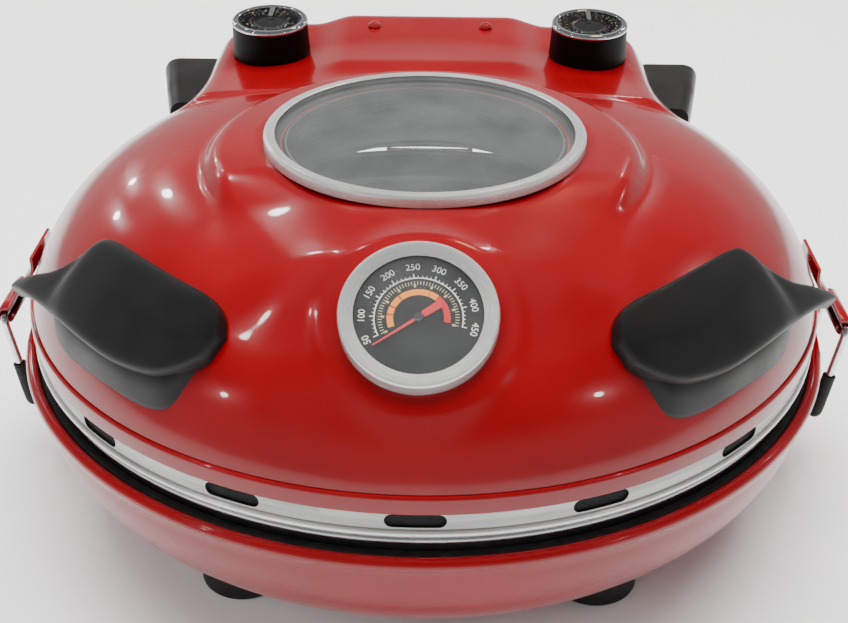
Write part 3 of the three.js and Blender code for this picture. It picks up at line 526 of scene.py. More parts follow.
def make_pan():
    """The pressed stainless pan: a rolled edge, a ledge for the stone and a flat floor."""
    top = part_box("base_liner")[1][2] / MM
    out = size_of("base_liner")[0] / 2
    bead, wall = 2.1, 0.8
    edge = arc((out - bead, top - bead), bead, -70, 190, 12)
    outer = rounded([[0, 30], [138, 30], [146, 38], [146, 56.4], [158, 56.4], [out - bead, 65],
                     [out - bead + 0.5, 77]],
                    [0, 6, 6, 1.5, 3, 4, 0])
    inner = rounded([[out - bead - wall, 77], [out - bead - wall, 65.4], [157.6, 57.2], [145.2, 57.2],
                     [145.2, 38.3],
                     [137.7, 30.8], [0, 30.8]], [0, 4, 3, 1.5, 6, 6, 0])
    turned("cooking_pan", np.concatenate([outer, edge, inner]), spun_steel, "base",
           ["base_liner"],
           turns=224)
    ring = rounded([[169.45, 68], [173.2, 68], [173.2, 75.5], [169.45, 75.5]], 0.8, closed=True)
    turned("rim_seal", ring, rubber, "base", ["rim_gasket"], closed=True, turns=192)


def make_stone():
    low, high = (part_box("stone")[k][2] / MM for k in (0, 1))
    radius = size_of("stone")[0] / 2
    profile = rounded([[0, low], [radius, low], [radius, high], [0, high]], [0, 2, 1.6, 0], 5)
    turned("baking_stone", profile, stoneware, "stone", ["stone"], turns=192)


def element_path(radius, height, leads):
    """An open ring whose two ends leave through the given [y, z] points at the rear."""
    t = np.radians(np.linspace(14, 346, 61))
    ring = np.stack([radius * np.sin(t), radius * np.cos(t), np.full(61, height)], axis=1)
    right = [[14, y, z] for y, z in leads]
    left = [[-14, y, z] for y, z in leads[::-1]]
    return smooth_line(np.concatenate([right, ring, left]), 420)


def make_heaters():
    lower = element_path(110, 44, [[155, 44], [141, 44], [128, 44], [117, 44]])
    wire("lower_heater", lower, 3.5, (0, 0, 1), sheath, "base", ["lower_element"], 16)
    upper = element_path(105, 124, [[104, 148], [104, 140], [104, 131], [104.5, 126.5]])
    outwards = upper * [1, 1, 0]
    wire("upper_heater", upper, 3.5, outwards, sheath, "lid", ["upper_element"], 16)


# ---------- lid ----------

DOME = 172.9  # radius of the dome at its base
DOME_BASE = 96.0
DOME_RISE = 65.0
WINDOW_Y = -13.0  # the window sits a little ahead of the axis
PLATEAU = 166.0  # height of the flat round the window
DECK_TILT = 4.0
KNOB_X, KNOB_Y = 80.3, 117.7
DECK_AT_KNOBS = 157.0
GAUGE_LEAN = 34.0
GAUGE_AT = (0, -136.7, 153.9)
gauge_place = placing(GAUGE_LEAN, GAUGE_AT)


def blend_less(a, b, width):
    """The smaller of two distances, with a smooth change over `width`: a union with a fillet."""
    h = np.clip(0.5 + 0.5 * (b - a) / width, 0, 1)
    return b + (a - b) * h - width * h * (1 - h)


def blend_more(a, b, width):
    """The larger of two distances with a smooth change: an intersection with a rounded edge."""
    return -blend_less(-a, -b, width)


def ease(t):
    t = np.clip(t, 0, 1)
    return t * t * (3 - 2 * t)


def dome_distance(p):
    """About the distance outside (r / R)^4.5 + (height / rise)^1.6 = 1."""
    r = np.hypot(p[..., 0], p[..., 1])
    up = np.maximum(p[..., 2] - DOME_BASE, 0)
    value = (r / DOME) ** 4.5 + (up / DOME_RISE) ** 1.6 - 1
    slope = np.hypot(4.5 / DOME * (r / DOME) ** 3.5, 1.6 / DOME_RISE * (up / DOME_RISE) ** 0.6)
    return value / np.maximum(slope, 0.008)


def front_fade(y):
    """0 beside the window and 1 at the front, where the turret's edges melt into the dome."""
    return ease((-38 - y) / 52)


def turret_distance(p):
    """The raised table round the window: a circle whose straight sides reach on to the gauge."""
    x, y, z = np.abs(p[..., 0]), p[..., 1] - WINDOW_Y, p[..., 2]
    narrowing = math.radians(16.0)
    along = -x * math.sin(narrowing) - y * math.cos(narrowing)
    straight = x * math.cos(narrowing) - y * math.sin(narrowing)
    side = np.where(along > 0, straight, np.hypot(x, y)) - 88
    away = np.maximum(np.hypot(x, y) - 72, 0)
    front_fall = 0.02 * np.maximum(-92 - y, 0) ** 2
    top = PLATEAU - 0.09 * away - 0.0027 * x**2 * ease((-30 - y) / 66) - front_fall
    batter = 0.95 * (top - z)
    return blend_more(z - top, (side - batter) * 0.72, 2.6 + 9 * front_fade(y))


def boss_distance(p):
    """The gauge's seat: a low cone whose flat top leans with the gauge."""
    local = (p - gauge_place[:3, 3]) @ gauge_place[:3, :3]
    above = local[..., 2] + 7.6
    side = (np.hypot(local[..., 0], local[..., 1]) - 35 + 0.9 * above) * 0.74
    return np.maximum(blend_more(above, side, 2.2), -above - 16)


def deck_height(x, y):
    """The control deck rises to the rear, with a raised middle between the knobs."""
    plane = DECK_AT_KNOBS + (y - KNOB_Y) * math.tan(math.radians(DECK_TILT))
    middle = ease((62 - np.abs(x)) / 22) * ease((y - 74) / 22)
    return plane + 5.0 * middle


def housing_distance(p):
    """The control box behind the window: a tilted deck on a box with rounded, bevelled edges."""
    x, y, z = np.abs(p[..., 0]), p[..., 1], p[..., 2]
    high = np.clip((z - 146) / 12, 0, 1)
    half, rear, corner = 112 - 7 * high, 166 - 5 * high, 30 - 8 * high
    qx, qy = x - (half - corner), y - (rear - corner)
    plan = np.hypot(np.maximum(qx, 0), np.maximum(qy, 0)) + np.minimum(np.maximum(qx, qy), 0) - corner
    top = z - deck_height(p[..., 0], y)
    box = blend_more(top, plan, 7.0)
    return np.maximum(blend_more(box, 106.2 - z, 3.0), 66 - y)


def lid_distance(p):
    lid = blend_less(dome_distance(p), turret_distance(p), 1.6 + 7 * front_fade(p[..., 1] - WINDOW_Y))
    lid = blend_less(lid, boss_distance(p), 4.0)
    return blend_less(lid, housing_distance(p), 11.0)


def lid_rays(rows, turns):
    """Where rays start and point: from the window's circle at the top to the dome's lower edge."""
    angle = TURN * np.arange(turns) / turns
    circle = np.stack([np.sin(angle), -np.cos(angle), 0 * angle], axis=1)
    upper = circle * 60 + [0, WINDOW_Y, PLATEAU]
    lower = circle * DOME + [0, 0, SEAM + 7.6]
    w = rows[:, None, None]
    start = np.array([0, 0, 110.0]) + w * w * np.array([0, 0, 45.0])
    ahead = (1 - w) * upper + w * lower - start
    return start, ahead / np.linalg.norm(ahead, axis=2, keepdims=True)


def meet_lid(rows, turns):
    """The lid's outside along those rays, by halving the stretch that holds it."""
    start, ahead = lid_rays(rows, turns)
    near = np.full(ahead.shape[:2], 12.0)
    far = np.full(ahead.shape[:2], 240.0)
    for _ in range(34):
        middle = (near + far) / 2
        inside = lid_distance(start + ahead * middle[..., None]) < 0
        near, far = np.where(inside, middle, near), np.where(inside, far, middle)
    return start + ahead * near[..., None]


def even_rows(count):
    """Ray positions that space the rows evenly over the left side's profile."""
    trial = np.linspace(0, 1, 1500)
    profile = meet_lid(trial, 4)[:, 3]
    length = np.concatenate([[0], np.cumsum(np.linalg.norm(np.diff(profile, axis=0), axis=1))])
    return np.interp(np.linspace(0, length[-1], count), length, trial)


def make_lid():
    turns = 430
    outside = meet_lid(even_rows(190), turns)
    coarse = outside[np.unique(np.linspace(0, len(outside) - 1, 26).astype(int))]
    towards = coarse - [0, 0, 100]
    inside = coarse - towards / np.linalg.norm(towards, axis=2, keepdims=True) * SHEET
    inside[0] = outside[0] - [0, 0, SHEET]
    grid = np.concatenate([outside, inside[::-1]])
    surface("lid_skin", grid, paint, "lid", ["lid_shell"], wrap_rows=True, crease=60)
    top = SEAM + 7.6
    flange = rounded([[DOME - 1.3, top], [DOME - 0.1, top], [DOME + 0.7, top - 1.0], [DOME + 0.7, SEAM + 0.1],
                      [DOME - 0.6, SEAM + 0.1], [DOME - 0.7, top - 1.4]], [0.3, 0.4, 0.7, 0.9, 0.5, 0.2], 5,
                      True)
    turned("lid_flange", flange, paint, "lid", closed=True, turns=256, crease=60)


BAND = 172.0  # radius of the vent band


def make_vent_band():
    """The stainless band under the flange, with rounded vents, over a bright bead; a flat black ring behind
    the vents is painted shade that makes them look dark.
    """
    low, high = 86.2, 99.6
    count, length, height, wall = 16, 22.0, 5.6, 0.8
    centre = 90.3
    columns = 96
    step = TURN / count
    # Across one sector the vent's half height is that of a bar with round ends, and zero beyond it.
    s = np.unique(np.concatenate([
        np.linspace(-step * BAND / 2, step * BAND / 2, columns),
        length / 2 * np.sin(np.linspace(-math.pi / 2, math.pi / 2, 33)),
    ]))
    inside = np.clip(np.abs(s) - (length / 2 - height / 2), 0, height / 2)
    gape = np.sqrt(np.maximum((height / 2) ** 2 - inside**2, 0)) * (np.abs(s) <= length / 2)
    angle = np.concatenate([s[:-1] / BAND + k * step for k in range(count)])
    gape = np.tile(gape[:-1], count)
    for name, edge, side in (("vent_band_lower", low, -1), ("vent_band_upper", high, 1)):
        near = centre + side * gape
        far = np.full_like(near, edge)
        rows = [(BAND, far), (BAND, near * 0.3 + far * 0.7), (BAND, near), (BAND - wall, near),
                (BAND - wall, far)]
        points = np.stack([np.stack([r * np.sin(angle), -r * np.cos(angle), z], axis=1) for r, z in rows])
        surface(name, points, band_steel, "lid", ["lid_skirt"], wrap_rows=True)
    # A thin flat black ring just inside the band: painted shade behind the vents, not a real part.
    painted_shade_ring = rounded([[170.3, 85.6], [170.9, 85.6], [170.9, 99.4], [170.3, 99.4]], 0.1, closed=True)
    turned("vent_shade_ring", painted_shade_ring, vent_shade_black, "lid", closed=True, turns=192)
    bead = arc((BAND - 0.4, 84.9), 1.7, 110, 430, 18)
    turned("band_bead", bead, satin_steel, "lid", closed=True, turns=256)


def cap_surface(hole, hole_y, rim, foot, top, flat, thickness):
    """An inner dome with an off-centre round hole: rays from the hole's circle to the rim."""
    turns, rows = 192, 40
    angle = TURN * np.arange(turns) / turns
    circle = np.stack([np.sin(angle), -np.cos(angle)], axis=1)
    w = ease(np.linspace(0, 1, rows))[:, None, None] * 0.5 + np.linspace(0, 1, rows)[:, None, None] * 0.5
    plan = (1 - w) * (circle * hole + [0, hole_y]) + w * circle * rim
    reach = np.hypot(plan[..., 0], plan[..., 1])
    share = np.clip((reach - flat) / (rim - flat), 0, 1)
    height = foot + (top - foot) * np.sqrt(np.maximum(1 - share**2, 0))
    outside = np.concatenate([plan, height[..., None]], axis=2)
    inside = outside - [0, 0, thickness]
    return outside, inside


def make_liner():
    outside, inside = cap_surface(57.0, WINDOW_Y, 170.0, 98, 140, 78, 0.9)
    wall = outside[-1:] - [0, 0, 10]
    grid = np.concatenate([outside, wall, wall - [0, 0, 0.4], inside[::-1] * [0.995, 0.995, 1]])
    surface("lid_lining", grid, spun_steel, "lid", ["lid_liner"], wrap_rows=True, crease=60)
    sleeve = rounded([[58, 140.2], [59, 140.2], [59, 166.6], [58, 166.6]], 0.3, closed=True)
    turned("window_tube", sleeve, spun_steel, "lid", ["window_sleeve"], closed=True,
           place=placing(at=(0, WINDOW_Y, 0)))


def make_window():
    place = placing(at=(0, WINDOW_Y, PLATEAU))
    seal = rounded([[60.8, 0.2], [65.8, 0.2], [65.8, 1.3], [60.8, 1.3]], 0.3, closed=True)
    turned("window_seal", seal, rubber, "lid", ["window_gasket"], closed=True, place=place,
           turns=192)
    pane = rounded([[0, 1.6], [64.9, 1.6], [64.9, 4.1], [0, 4.1]], [0, 0.4, 0.4, 0])
    turned("window_pane", pane, window_glass, "lid", ["window_glass"], place=place, turns=192)
    ring = rounded([[65.3, 1.6], [66.2, 1.6], [66.2, 0.1], [67.6, 0.1], [67.6, 4.2], [66.5, 5.2], [63.8, 5.2],
                    [62.8, 4.7], [62.8, 4.3], [65.3, 4.3]],
                   [0.2, 0.2, 0.2, 0.3, 0.9, 0.9, 0.8, 0.3, 0.2, 0.2], closed=True)
    turned("window_trim", ring, satin_steel, "lid", ["window_ring"], closed=True, place=place,
           turns=224)


make_bowl()
for number in (1, 2, 3, 4):
    make_foot(f"foot_{number}")
make_pan()
make_stone()
make_heaters()
make_lid()
make_vent_band()
make_liner()
make_window()


# ---------- gauge ----------

BEZEL = size_of("gauge_bezel")[0] / 2
DIAL_TOP = -4.98  # face of the dial behind the bezel's front
SCALE_START, SCALE_END = -116.0, 102.0  # degrees clockwise from the top
SCALE_RADIUS = 15.4


def dial_point(radius, turn):
    """A point on the dial, its turn in degrees clockwise from the top."""
    t = np.radians(turn)
    return np.stack([radius * np.sin(t), radius * np.cos(t)], axis=-1)


def make_bars(name, outlines, low, high, material, place, body, replaces=()):
    """Thin flat bars: each four-cornered outline becomes a box from low to high."""
    outlines = np.asarray(outlines, float)
    count = len(outlines)
    flat = np.concatenate([outlines, outlines], axis=1)
    z = np.repeat([low, high], 4)
    points = np.concatenate([flat, np.broadcast_to(z[None, :, None], (count, 8, 1))], axis=2)
    box = np.array([[3, 2, 1, 0], [4, 5, 6, 7], [0, 1, 5, 4], [1, 2, 6, 5], [2, 3, 7, 6], [3, 0, 4, 7]])
    faces = (np.arange(count)[:, None, None] * 8 + box).reshape(-1, 4)
    return put(name, moved(points.reshape(-1, 3), place), faces, material, body, replaces, crease=20)


def ring_bars(inner, outer, start, end, steps):
    """A curved band on the dial as short four-cornered stretches."""
    edges = np.linspace(start, end, steps + 1)
    a, b = edges[:-1], edges[1:]
    return np.stack([dial_point(inner, a), dial_point(inner, b), dial_point(outer, b), dial_point(outer, a)],
                    axis=1)


def tick_bars(inner, outer, width, turns):
    """Straight marks that point to the dial's centre."""
    turns = np.asarray(turns, float)
    t = np.radians(turns)
    side = np.stack([np.cos(t), -np.sin(t)], axis=-1) * width / 2
    low, high = dial_point(inner, turns), dial_point(outer, turns)
    return np.stack([low - side, low + side, high + side, high - side], axis=1)


def printed_text(name, text, height, radius, turn, material, place, body):
    """A number printed on the dial, its foot towards the centre."""
    curve = bpy.data.curves.new(name, "FONT")
    curve.body = text
    curve.size = height * MM
    curve.align_x = "CENTER"
    curve.align_y = "CENTER"
    curve.extrude = 0.02 * MM
    label = bpy.data.objects.new(name + "_curve", curve)
    bpy.context.scene.collection.objects.link(label)
    bpy.context.view_layer.update()
    mesh = bpy.data.meshes.new_from_object(label.evaluated_get(bpy.context.evaluated_depsgraph_get()))
    bpy.data.objects.remove(label)
    x, y = dial_point(radius, turn)
    local = Matrix.Translation(Vector((x, y, DIAL_TOP + 0.03)) * MM) @ Matrix.Rotation(-math.radians(turn),
            4, "Z")
    world = Matrix(place.tolist())
    world.translation = (Vector(place[:3, 3]) + Vector((0, AXIS_Y, 0))) * MM
    mesh.transform(world @ local)
    mesh.name = name
    mesh.materials.clear()
    mesh.materials.append(material)
    piece = bpy.data.objects.new(name, mesh)
    bpy.context.scene.collection.objects.link(piece)
    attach(piece, body)
    return piece


def make_gauge():
    place = gauge_place
    bezel = rounded([[27.75, -7.5], [BEZEL, -7.5], [BEZEL, -0.9], [27.8, 0.0], [27.0, 0.0], [22.8, -1.3],
                     [22.8, -1.7],
                     [27.75, -1.7]], [0.2, 0.5, 0.5, 0.3, 0.4, 0.2, 0.2, 0.2], 6, True)
    turned("gauge_trim", bezel, satin_steel, "lid", ["gauge_bezel"], closed=True, place=place,
           turns=192)
    cup = rounded([[0, -37.4], [3, -37.4], [4, -35.4], [4, -7.4], [27.4, -7.4], [27.4, -2.75], [26, -2.75],
                   [26, -6], [0, -6]],
                  [0, 1, 1, 1.5, 1, 0.2, 0.2, 0.6, 0])
    turned("gauge_cup", cup, zinc, "lid", ["gauge_case"], place=place, turns=96)
    disc = rounded([[0, -5.6], [25.6, -5.6], [25.6, DIAL_TOP], [0, DIAL_TOP]], [0, 0.1, 0.1, 0])
    turned("gauge_face", disc, dial_ink, "lid", ["gauge_dial"], place=place, turns=128)
    crystal = rounded([[0, -2.4], [27.0, -2.4], [27.0, -1.75], [0, -1.75]], [0, 0.1, 0.1, 0])
    turned("gauge_crystal", crystal, dial_glass, "lid", ["gauge_glass"], place=place,
           turns=128)
    low, high = DIAL_TOP - 0.02, DIAL_TOP + 0.06
    span = SCALE_END - SCALE_START
    large = SCALE_START + span * np.arange(9) / 8
    small = SCALE_START + span * np.arange(41) / 40
    scale = [
        ring_bars(SCALE_RADIUS, SCALE_RADIUS + 0.42, SCALE_START, SCALE_END, 72),
        tick_bars(SCALE_RADIUS, SCALE_RADIUS + 1.9, 0.36, large),
        tick_bars(SCALE_RADIUS, SCALE_RADIUS + 1.1, 0.22, small),
    ]
    make_bars("dial_scale", np.concatenate(scale), low, high, white_ink, place, "lid")
    inner = SCALE_START + span * np.arange(9) / 8
    fine = [tick_bars(12.9, 14.3, 0.3, SCALE_START + span * np.arange(49) / 48),
            tick_bars(12.0, 13.2, 0.8, inner)]
    make_bars("dial_inner_scale", np.concatenate(fine), low, high, printed_ink("cream_ink", "#b7ab86"),
              place, "lid")
    make_bars("dial_baking_band", ring_bars(8.9, 11.2, -111, 39, 60), low, high, orange_ink, place, "lid")
    make_bars("dial_hot_band", ring_bars(8.9, 11.2, 39, 99, 26), low, high, red_ink, place, "lid")
    for k, turn in enumerate(large):
        number = str(50 * (k + 1))
        printed_text("dial_number_" + number, number, 3.5, 19.9, turn, white_ink, place, "lid")


def make_pointer():
    """A thin needle with a wide tail, on a grey hub; it rests just below the first mark."""
    rest = -125.0
    place = placing(GAUGE_LEAN, GAUGE_AT) @ placing(turn_z=-rest)
    low, high = DIAL_TOP + 0.42, DIAL_TOP + 0.9
    outlines = [
        [[-0.62, 0], [0.62, 0], [0.26, 19.2], [-0.26, 19.2]],
        [[-0.7, -2], [0.7, -2], [0.62, 0.2], [-0.62, 0.2]],
        [[-1.5, -9.4], [1.5, -9.4], [1.25, -1.9], [-1.25, -1.9]],
    ]
    make_bars("gauge_needle", outlines, low, high, pointer_paint, place, "gauge_needle",
              ["gauge_pointer"])
    hub = rounded([[0, low - 0.2], [1.7, low - 0.2], [1.7, high + 0.5], [1.2, high + 0.9], [0, high + 0.9]],
                  [0, 0.1, 0.4, 0.4, 0])
    turned("needle_hub", hub, zinc, "gauge_needle", place=gauge_place, turns=48)


# ---------- handles ----------

# Along the rim's tangent, then [out from the axis, up] of the grip's outer edge, crest and inner edge.
GRIP = [
    [-53, (150, 136), (147.5, 139.5), (144, 142.5)],
    [-47, (158.5, 132.3), (149.5, 142), (139.3, 148.5)],
    [-38, (165, 129.3), (153.5, 142.5), (138, 151.3)],
    [-20, (170, 128), (156.5, 142), (140.2, 152)],
    [0, (171.3, 128.2), (157, 142), (141.6, 152.3)],
    [18, (170.5, 127.4), (156.5, 141), (142, 151.7)],
    [27, (169.6, 126), (156.8, 139), (143.5, 149.5)],
    [34, (168.5, 124.8), (159.5, 133), (150.5, 141.5)],
    [44, (167.5, 123.2), (162, 128.5), (156.5, 133.5)],
    [58, (166.5, 120.8), (163, 124), (159.3, 126.5)],
    [71, (165, 117.4), (163.4, 118.3), (161.5, 119.2)],
]
# The block under it: along the tangent, then its lower outer, upper outer and upper inner corners.
BLOCK = [
    [-50, (157.5, 118.5), (148.5, 132), (143, 138)],
    [-44, (162.8, 113), (160, 126.5), (146, 141)],
    [-32, (166.3, 110.8), (164.5, 124), (150, 141)],
    [-14, (168.5, 110.8), (168, 124), (154.5, 138)],
    [10, (169.3, 110.3), (168.6, 123.8), (155.5, 137)],
    [27, (167.3, 110.8), (167, 121.5), (155.5, 134)],
    [38, (163, 114.5), (163.5, 119.5), (157, 128)],
]
HANDLE_ANGLE = 48.0


def beside_lid(along, out, up):
    """A place by the lid's left side from its distance along the tangent, out and up."""
    a = math.radians(HANDLE_ANGLE)
    return np.stack([-math.sin(a) * out - math.cos(a) * along, -math.cos(a) * out + math.sin(a) * along, up],
                    axis=-1)


def pillow_edge(s, power):
    """1 in the middle and 0 at both ends of 0 to 1, with a round shoulder."""
    return np.maximum(1 - np.abs(2 * s - 1) ** power, 0) ** (1 / power)


def grip_plate():
    """A curved plate 8.4 mm thick: bent softly over its crest, with round edges and a round end."""
    stations = np.array([[a, *o, *c, *i] for a, o, c, i in GRIP], float)
    spline = smooth_line(stations, 801)
    along = np.linspace(0, 1, 91)
    along = stations[0, 0] + (stations[-1, 0] - stations[0, 0]) * (0.5 * along + 0.5 * ease(along))
    spline = np.stack([np.interp(along, spline[:, 0], column) for column in spline.T], axis=1)
    along, outer, crest, inner = spline[:, :1], spline[:, 1:3], spline[:, 3:5], spline[:, 5:7]
    v = 0.5 - 0.5 * np.cos(np.linspace(0, math.pi, 41))
    tent = 1 - (np.sqrt((2 * v - 1) ** 2 + 0.03) - 0.17) / (math.sqrt(1.03) - 0.17)
    section = outer[:, None] + (inner - outer)[:, None] * v[None, :, None]
    section += (crest - (outer + inner) / 2)[:, None] * tent[None, :, None]
    top = beside_lid(np.broadcast_to(along, section.shape[:2]), section[..., 0], section[..., 1])
    across = (inner - outer) / np.linalg.norm(inner - outer, axis=1, keepdims=True)
    flat = np.zeros((len(along), 1, 1))
    out, up = -across[:, None, 1:] + flat, across[:, None, :1] + flat
    normal = beside_lid(flat, out * np.sign(up), up * np.sign(up)) - beside_lid(flat, flat, flat)
    normal = np.broadcast_to(normal.reshape(-1, 1, 3), top.shape)
    u = np.linspace(0, 1, len(top))
    half = 4.2 * pillow_edge(u, 20)[:, None] * pillow_edge(v, 5)[None, :]
    middle = top - normal * 4.2
    upper, lower = middle + normal * half[..., None], middle - normal * half[..., None]
    return np.concatenate([upper, lower[:, ::-1]], axis=1)


def held_outside(points, depth):
    """Points deeper than `depth` under the dome move out, away from its centre, to that depth."""
    centre = np.array([0, 0, DOME_BASE])
    ray = points - centre
    near, far = np.ones(points.shape[:-1]), np.full(points.shape[:-1], 3.0)
    for _ in range(30):
        middle = (near + far) / 2
        inside = dome_distance(centre + ray * middle[..., None]) < -depth
        near, far = np.where(inside, middle, near), np.where(inside, far, middle)
    return centre + ray * near[..., None]


def block_solid():
    """Rounded four-cornered sections along the block, drawn in towards their middles at both ends."""
    u = 0.5 - 0.5 * np.cos(np.linspace(0, math.pi, 61))
    stations = smooth_line([[a, *low, *up, *inner] for a, low, up, inner in BLOCK], 601)
    stations = stations[np.round(u * 600).astype(int)]
    rings = []
    for share, (along, *corner) in zip(pillow_edge(u, 5), stations):
        low, up, inner = np.array(corner).reshape(3, 2)
        outline = rounded([low - [12, 0], low, up, inner, inner - [6, 8]], [3, 3, 5, 4, 3], 6, True)
        middle = outline.mean(axis=0)
        drawn = middle + (outline - middle) * (0.001 + 0.999 * share)
        rings.append(beside_lid(np.full(len(drawn), along), drawn[:, 0], drawn[:, 1]))
    return held_outside(np.stack(rings), 0.9)


def make_handles():
    for side, name in ((1, "left"), (-1, "right")):
        flip = np.array([side, 1, 1])
        surface(f"grip_{name}", grip_plate() * flip, handle_plastic, "lid",
                [f"handle_{name}_grip"], crease=75)
        surface(f"grip_block_{name}", block_solid() * flip, handle_plastic, "lid",
                [f"handle_{name}_base"], crease=70)


# ---------- rear of the lid ----------

def rounded_section(y, inner, outer, low, high, corner):
    """A rectangle with round corners across Y."""
    t = TURN * np.arange(64) / 64
    half_x, half_z = (outer - inner) / 2, (high - low) / 2
    cx, cz = (outer + inner) / 2, (high + low) / 2
    x = np.sign(np.cos(t)) * (half_x - corner) + corner * np.cos(t)
    z = np.sign(np.sin(t)) * (half_z - corner) + corner * np.sin(t)
    return np.stack([cx + x, np.full(64, y), cz + z], axis=1)


def make_stands():
    """The two posts beside the control box that the oven rests on when it is stored upright."""
    levels = [
        (120, 100, 110, 112, 122, 3), (121, 88, 136, 107, 128, 6), (150, 99, 143, 106.4, 129.4, 7),
        (180, 112.5, 149.4, 106, 131, 8), (183.6, 114, 148.8, 107, 130, 8),
        (185.4, 116.5, 146.6, 109, 128, 7.6),
        (186, 120, 143, 112, 125, 6), (186, 131, 132, 118.5, 119.5, 0.4),
    ]
    rings = np.stack([rounded_section(*level) for level in levels])
    first = rings[:1].mean(axis=1, keepdims=True) + 0 * rings[:1]
    last = rings[-1:].mean(axis=1, keepdims=True) + 0 * rings[-1:]
    grid = held_outside(np.concatenate([first, rings, last]), 0.9)
    for side, name in ((1, "right"), (-1, "left")):
        surface(f"rear_post_{name}", grid * [side, 1, 1], handle_plastic, "lid",
                [f"stand_{name}"], crease=50)


def deck_place(x, y, rise, turn=0.0):
    z = DECK_AT_KNOBS + (y - KNOB_Y) * math.tan(math.radians(DECK_TILT)) + rise
    return placing(DECK_TILT, (x, y, z), turn)


def knurled_cap(radius, top):
    """A dished cap cut with facets: the rim's height ripples round it and towards the centre."""
    rows, turns = 40, 216
    s = np.linspace(0, 1, rows)[:, None]
    angle = TURN * np.arange(turns)[None, :] / turns
    r = radius * s
    dish = -1.5 * (1 - ease((s - 0.45) / 0.3))
    facets = 0.55 * np.abs(np.sin(12 * angle)) * ease((s - 0.5) / 0.15) * (1 - ease((s - 0.9) / 0.1))
    rings = 0.25 * np.sin(s * 40) * ease((s - 0.5) / 0.1)
    z = top - 0.5 + dish - facets + rings * 0.4
    face = np.stack([r * np.sin(angle), -r * np.cos(angle), z + 0 * angle], axis=2)
    low = np.concatenate([face[-1:] * [1, 1, 0], face[-1:] * [0, 0, 0]]) + [0, 0, top - 4.4]
    return np.concatenate([face, low])


def make_control(side, name):
    body = f"{name}_control"
    x = side * KNOB_X
    place = deck_place(x, KNOB_Y, 0)
    radius, top = 19.0, 18.6
    skirt = rounded([[3.4, 0.5], [radius + 0.6, 0.5], [radius - 0.1, 12], [radius - 0.1, top - 2.4],
                     [radius - 2.2, top - 2.4],
                     [radius - 2.2, top - 5], [3.4, top - 5]], [0.3, 0.9, 3, 0.5, 0.3, 0.3, 0.3], 5, True)
    turned(f"{name}_knob_skirt", skirt, knob_plastic, body, [f"{name}_knob"], closed=True,
           place=place, turns=120)
    ring = rounded([[radius - 3.3, top - 2.3], [radius + 0.1, top - 2.3], [radius + 0.1, top - 1.1],
                    [radius - 0.8, top], [radius - 3.1, top - 0.2]],
                   [0.2, 0.6, 0.7, 1.0, 0.4], 6, True)
    turned(f"{name}_knob_trim", ring, chrome, body, [f"{name}_knob_ring"], closed=True,
           place=place, turns=120)
    surface(f"{name}_knob_top", knurled_cap(radius - 3.35, top - 0.2), cap_plastic, body,
            [f"{name}_knob_cap"], place=place, crease=30)
    mark = [[[-1.0, 3.0], [1.0, 3.0], [1.3, 14.6], [-1.3, 14.6]]]
    make_bars(f"{name}_pointer_mark", mark, top - 2.0, top + 0.05, chrome, place, body)


def make_lamps():
    for side, name in ((-1, "left"), (1, "right")):
        profile = rounded([[0, -4], [2.1, -4], [2.1, 0.1], [3.4, 0.1], [3.3, 1.3], [2.2, 2.4], [0, 2.9]],
                          [0, 0.2, 0.2, 0.3, 0.8, 1, 0], 5)
        turned(f"signal_lens_{name}", profile, lens, "lid", [f"lamp_{name}"],
               place=deck_place(side * 29.0, 141, 5.0), turns=48)


def slab(name, half_x, half_z, corner, y_from, y_to, centre, material, body, replaces=(), edge=0.6):
    """A plate across Y with round corners and softened edges."""
    levels = [(y_from, 0.0), (y_to - edge, 0.0), (y_to - edge * 0.3, edge * 0.3), (y_to, edge)]
    rings = [
        rounded_section(y, centre[0] - half_x + inset, centre[0] + half_x - inset, centre[1] - half_z + inset,
                        centre[1] + half_z - inset, corner - inset)
        for y, inset in levels
    ]
    rings = np.stack(rings)
    first = rings[:1].mean(axis=1, keepdims=True) + 0 * rings[:1]
    last = rings[-1:].mean(axis=1, keepdims=True) + 0 * rings[-1:]
    return surface(name, np.concatenate([first, rings, last]), material, body, replaces, crease=50)


def make_rear_cover():
    low, high = (np.array(c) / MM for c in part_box("rear_cover"))
    middle = ((low[0] + high[0]) / 2, (low[2] + high[2]) / 2)
    face = low[1] - AXIS_Y
    slab("terminal_cover", 58, 15, 4, face - 0.6, face + 2, middle, handle_plastic, "lid",
         ["rear_cover"])
    for k, x in enumerate((-52, 52)):
        place = placing(-90, (x, face + 1.9, middle[1]))
        head = rounded([[0, 0], [3, 0], [3, 0.6], [1.8, 1.5], [0, 1.7]], [0, 0, 0.4, 0.6, 0])
        turned(f"cover_screw_{k + 1}", head, zinc, "lid", place=place, turns=40)
        # Each slot is a thin black bar across the head: painted shade where a groove would be.
        make_bars(f"painted_shade_screw_slot_{k + 1}", [[[-2.2, -0.35], [2.2, -0.35], [2.2, 0.35], [-2.2, 0.35]]],
                  1.3, 1.75,
                  rubber, place, "lid")
    centre = centre_of("cord_gland")
    gland = rounded([[0, -2.5], [6.6, -2.5], [6.6, 2.3], [8.6, 2.3], [8.0, 5.0], [7.2, 5.4], [7.0, 7.4],
                     [7.6, 7.8], [7.4, 12],
                     [3.7, 12], [3.7, 5], [0, 5]], [0, 0.3, 0.2, 0.5, 0.5, 0.4, 0.4, 0.4, 0.8, 0.6, 0.4, 0])
    turned("cable_gland", gland, rubber, "lid", ["cord_gland"],
           place=placing(-90, (centre[0], face, middle[1])), turns=64)


# ---------- side latches ----------

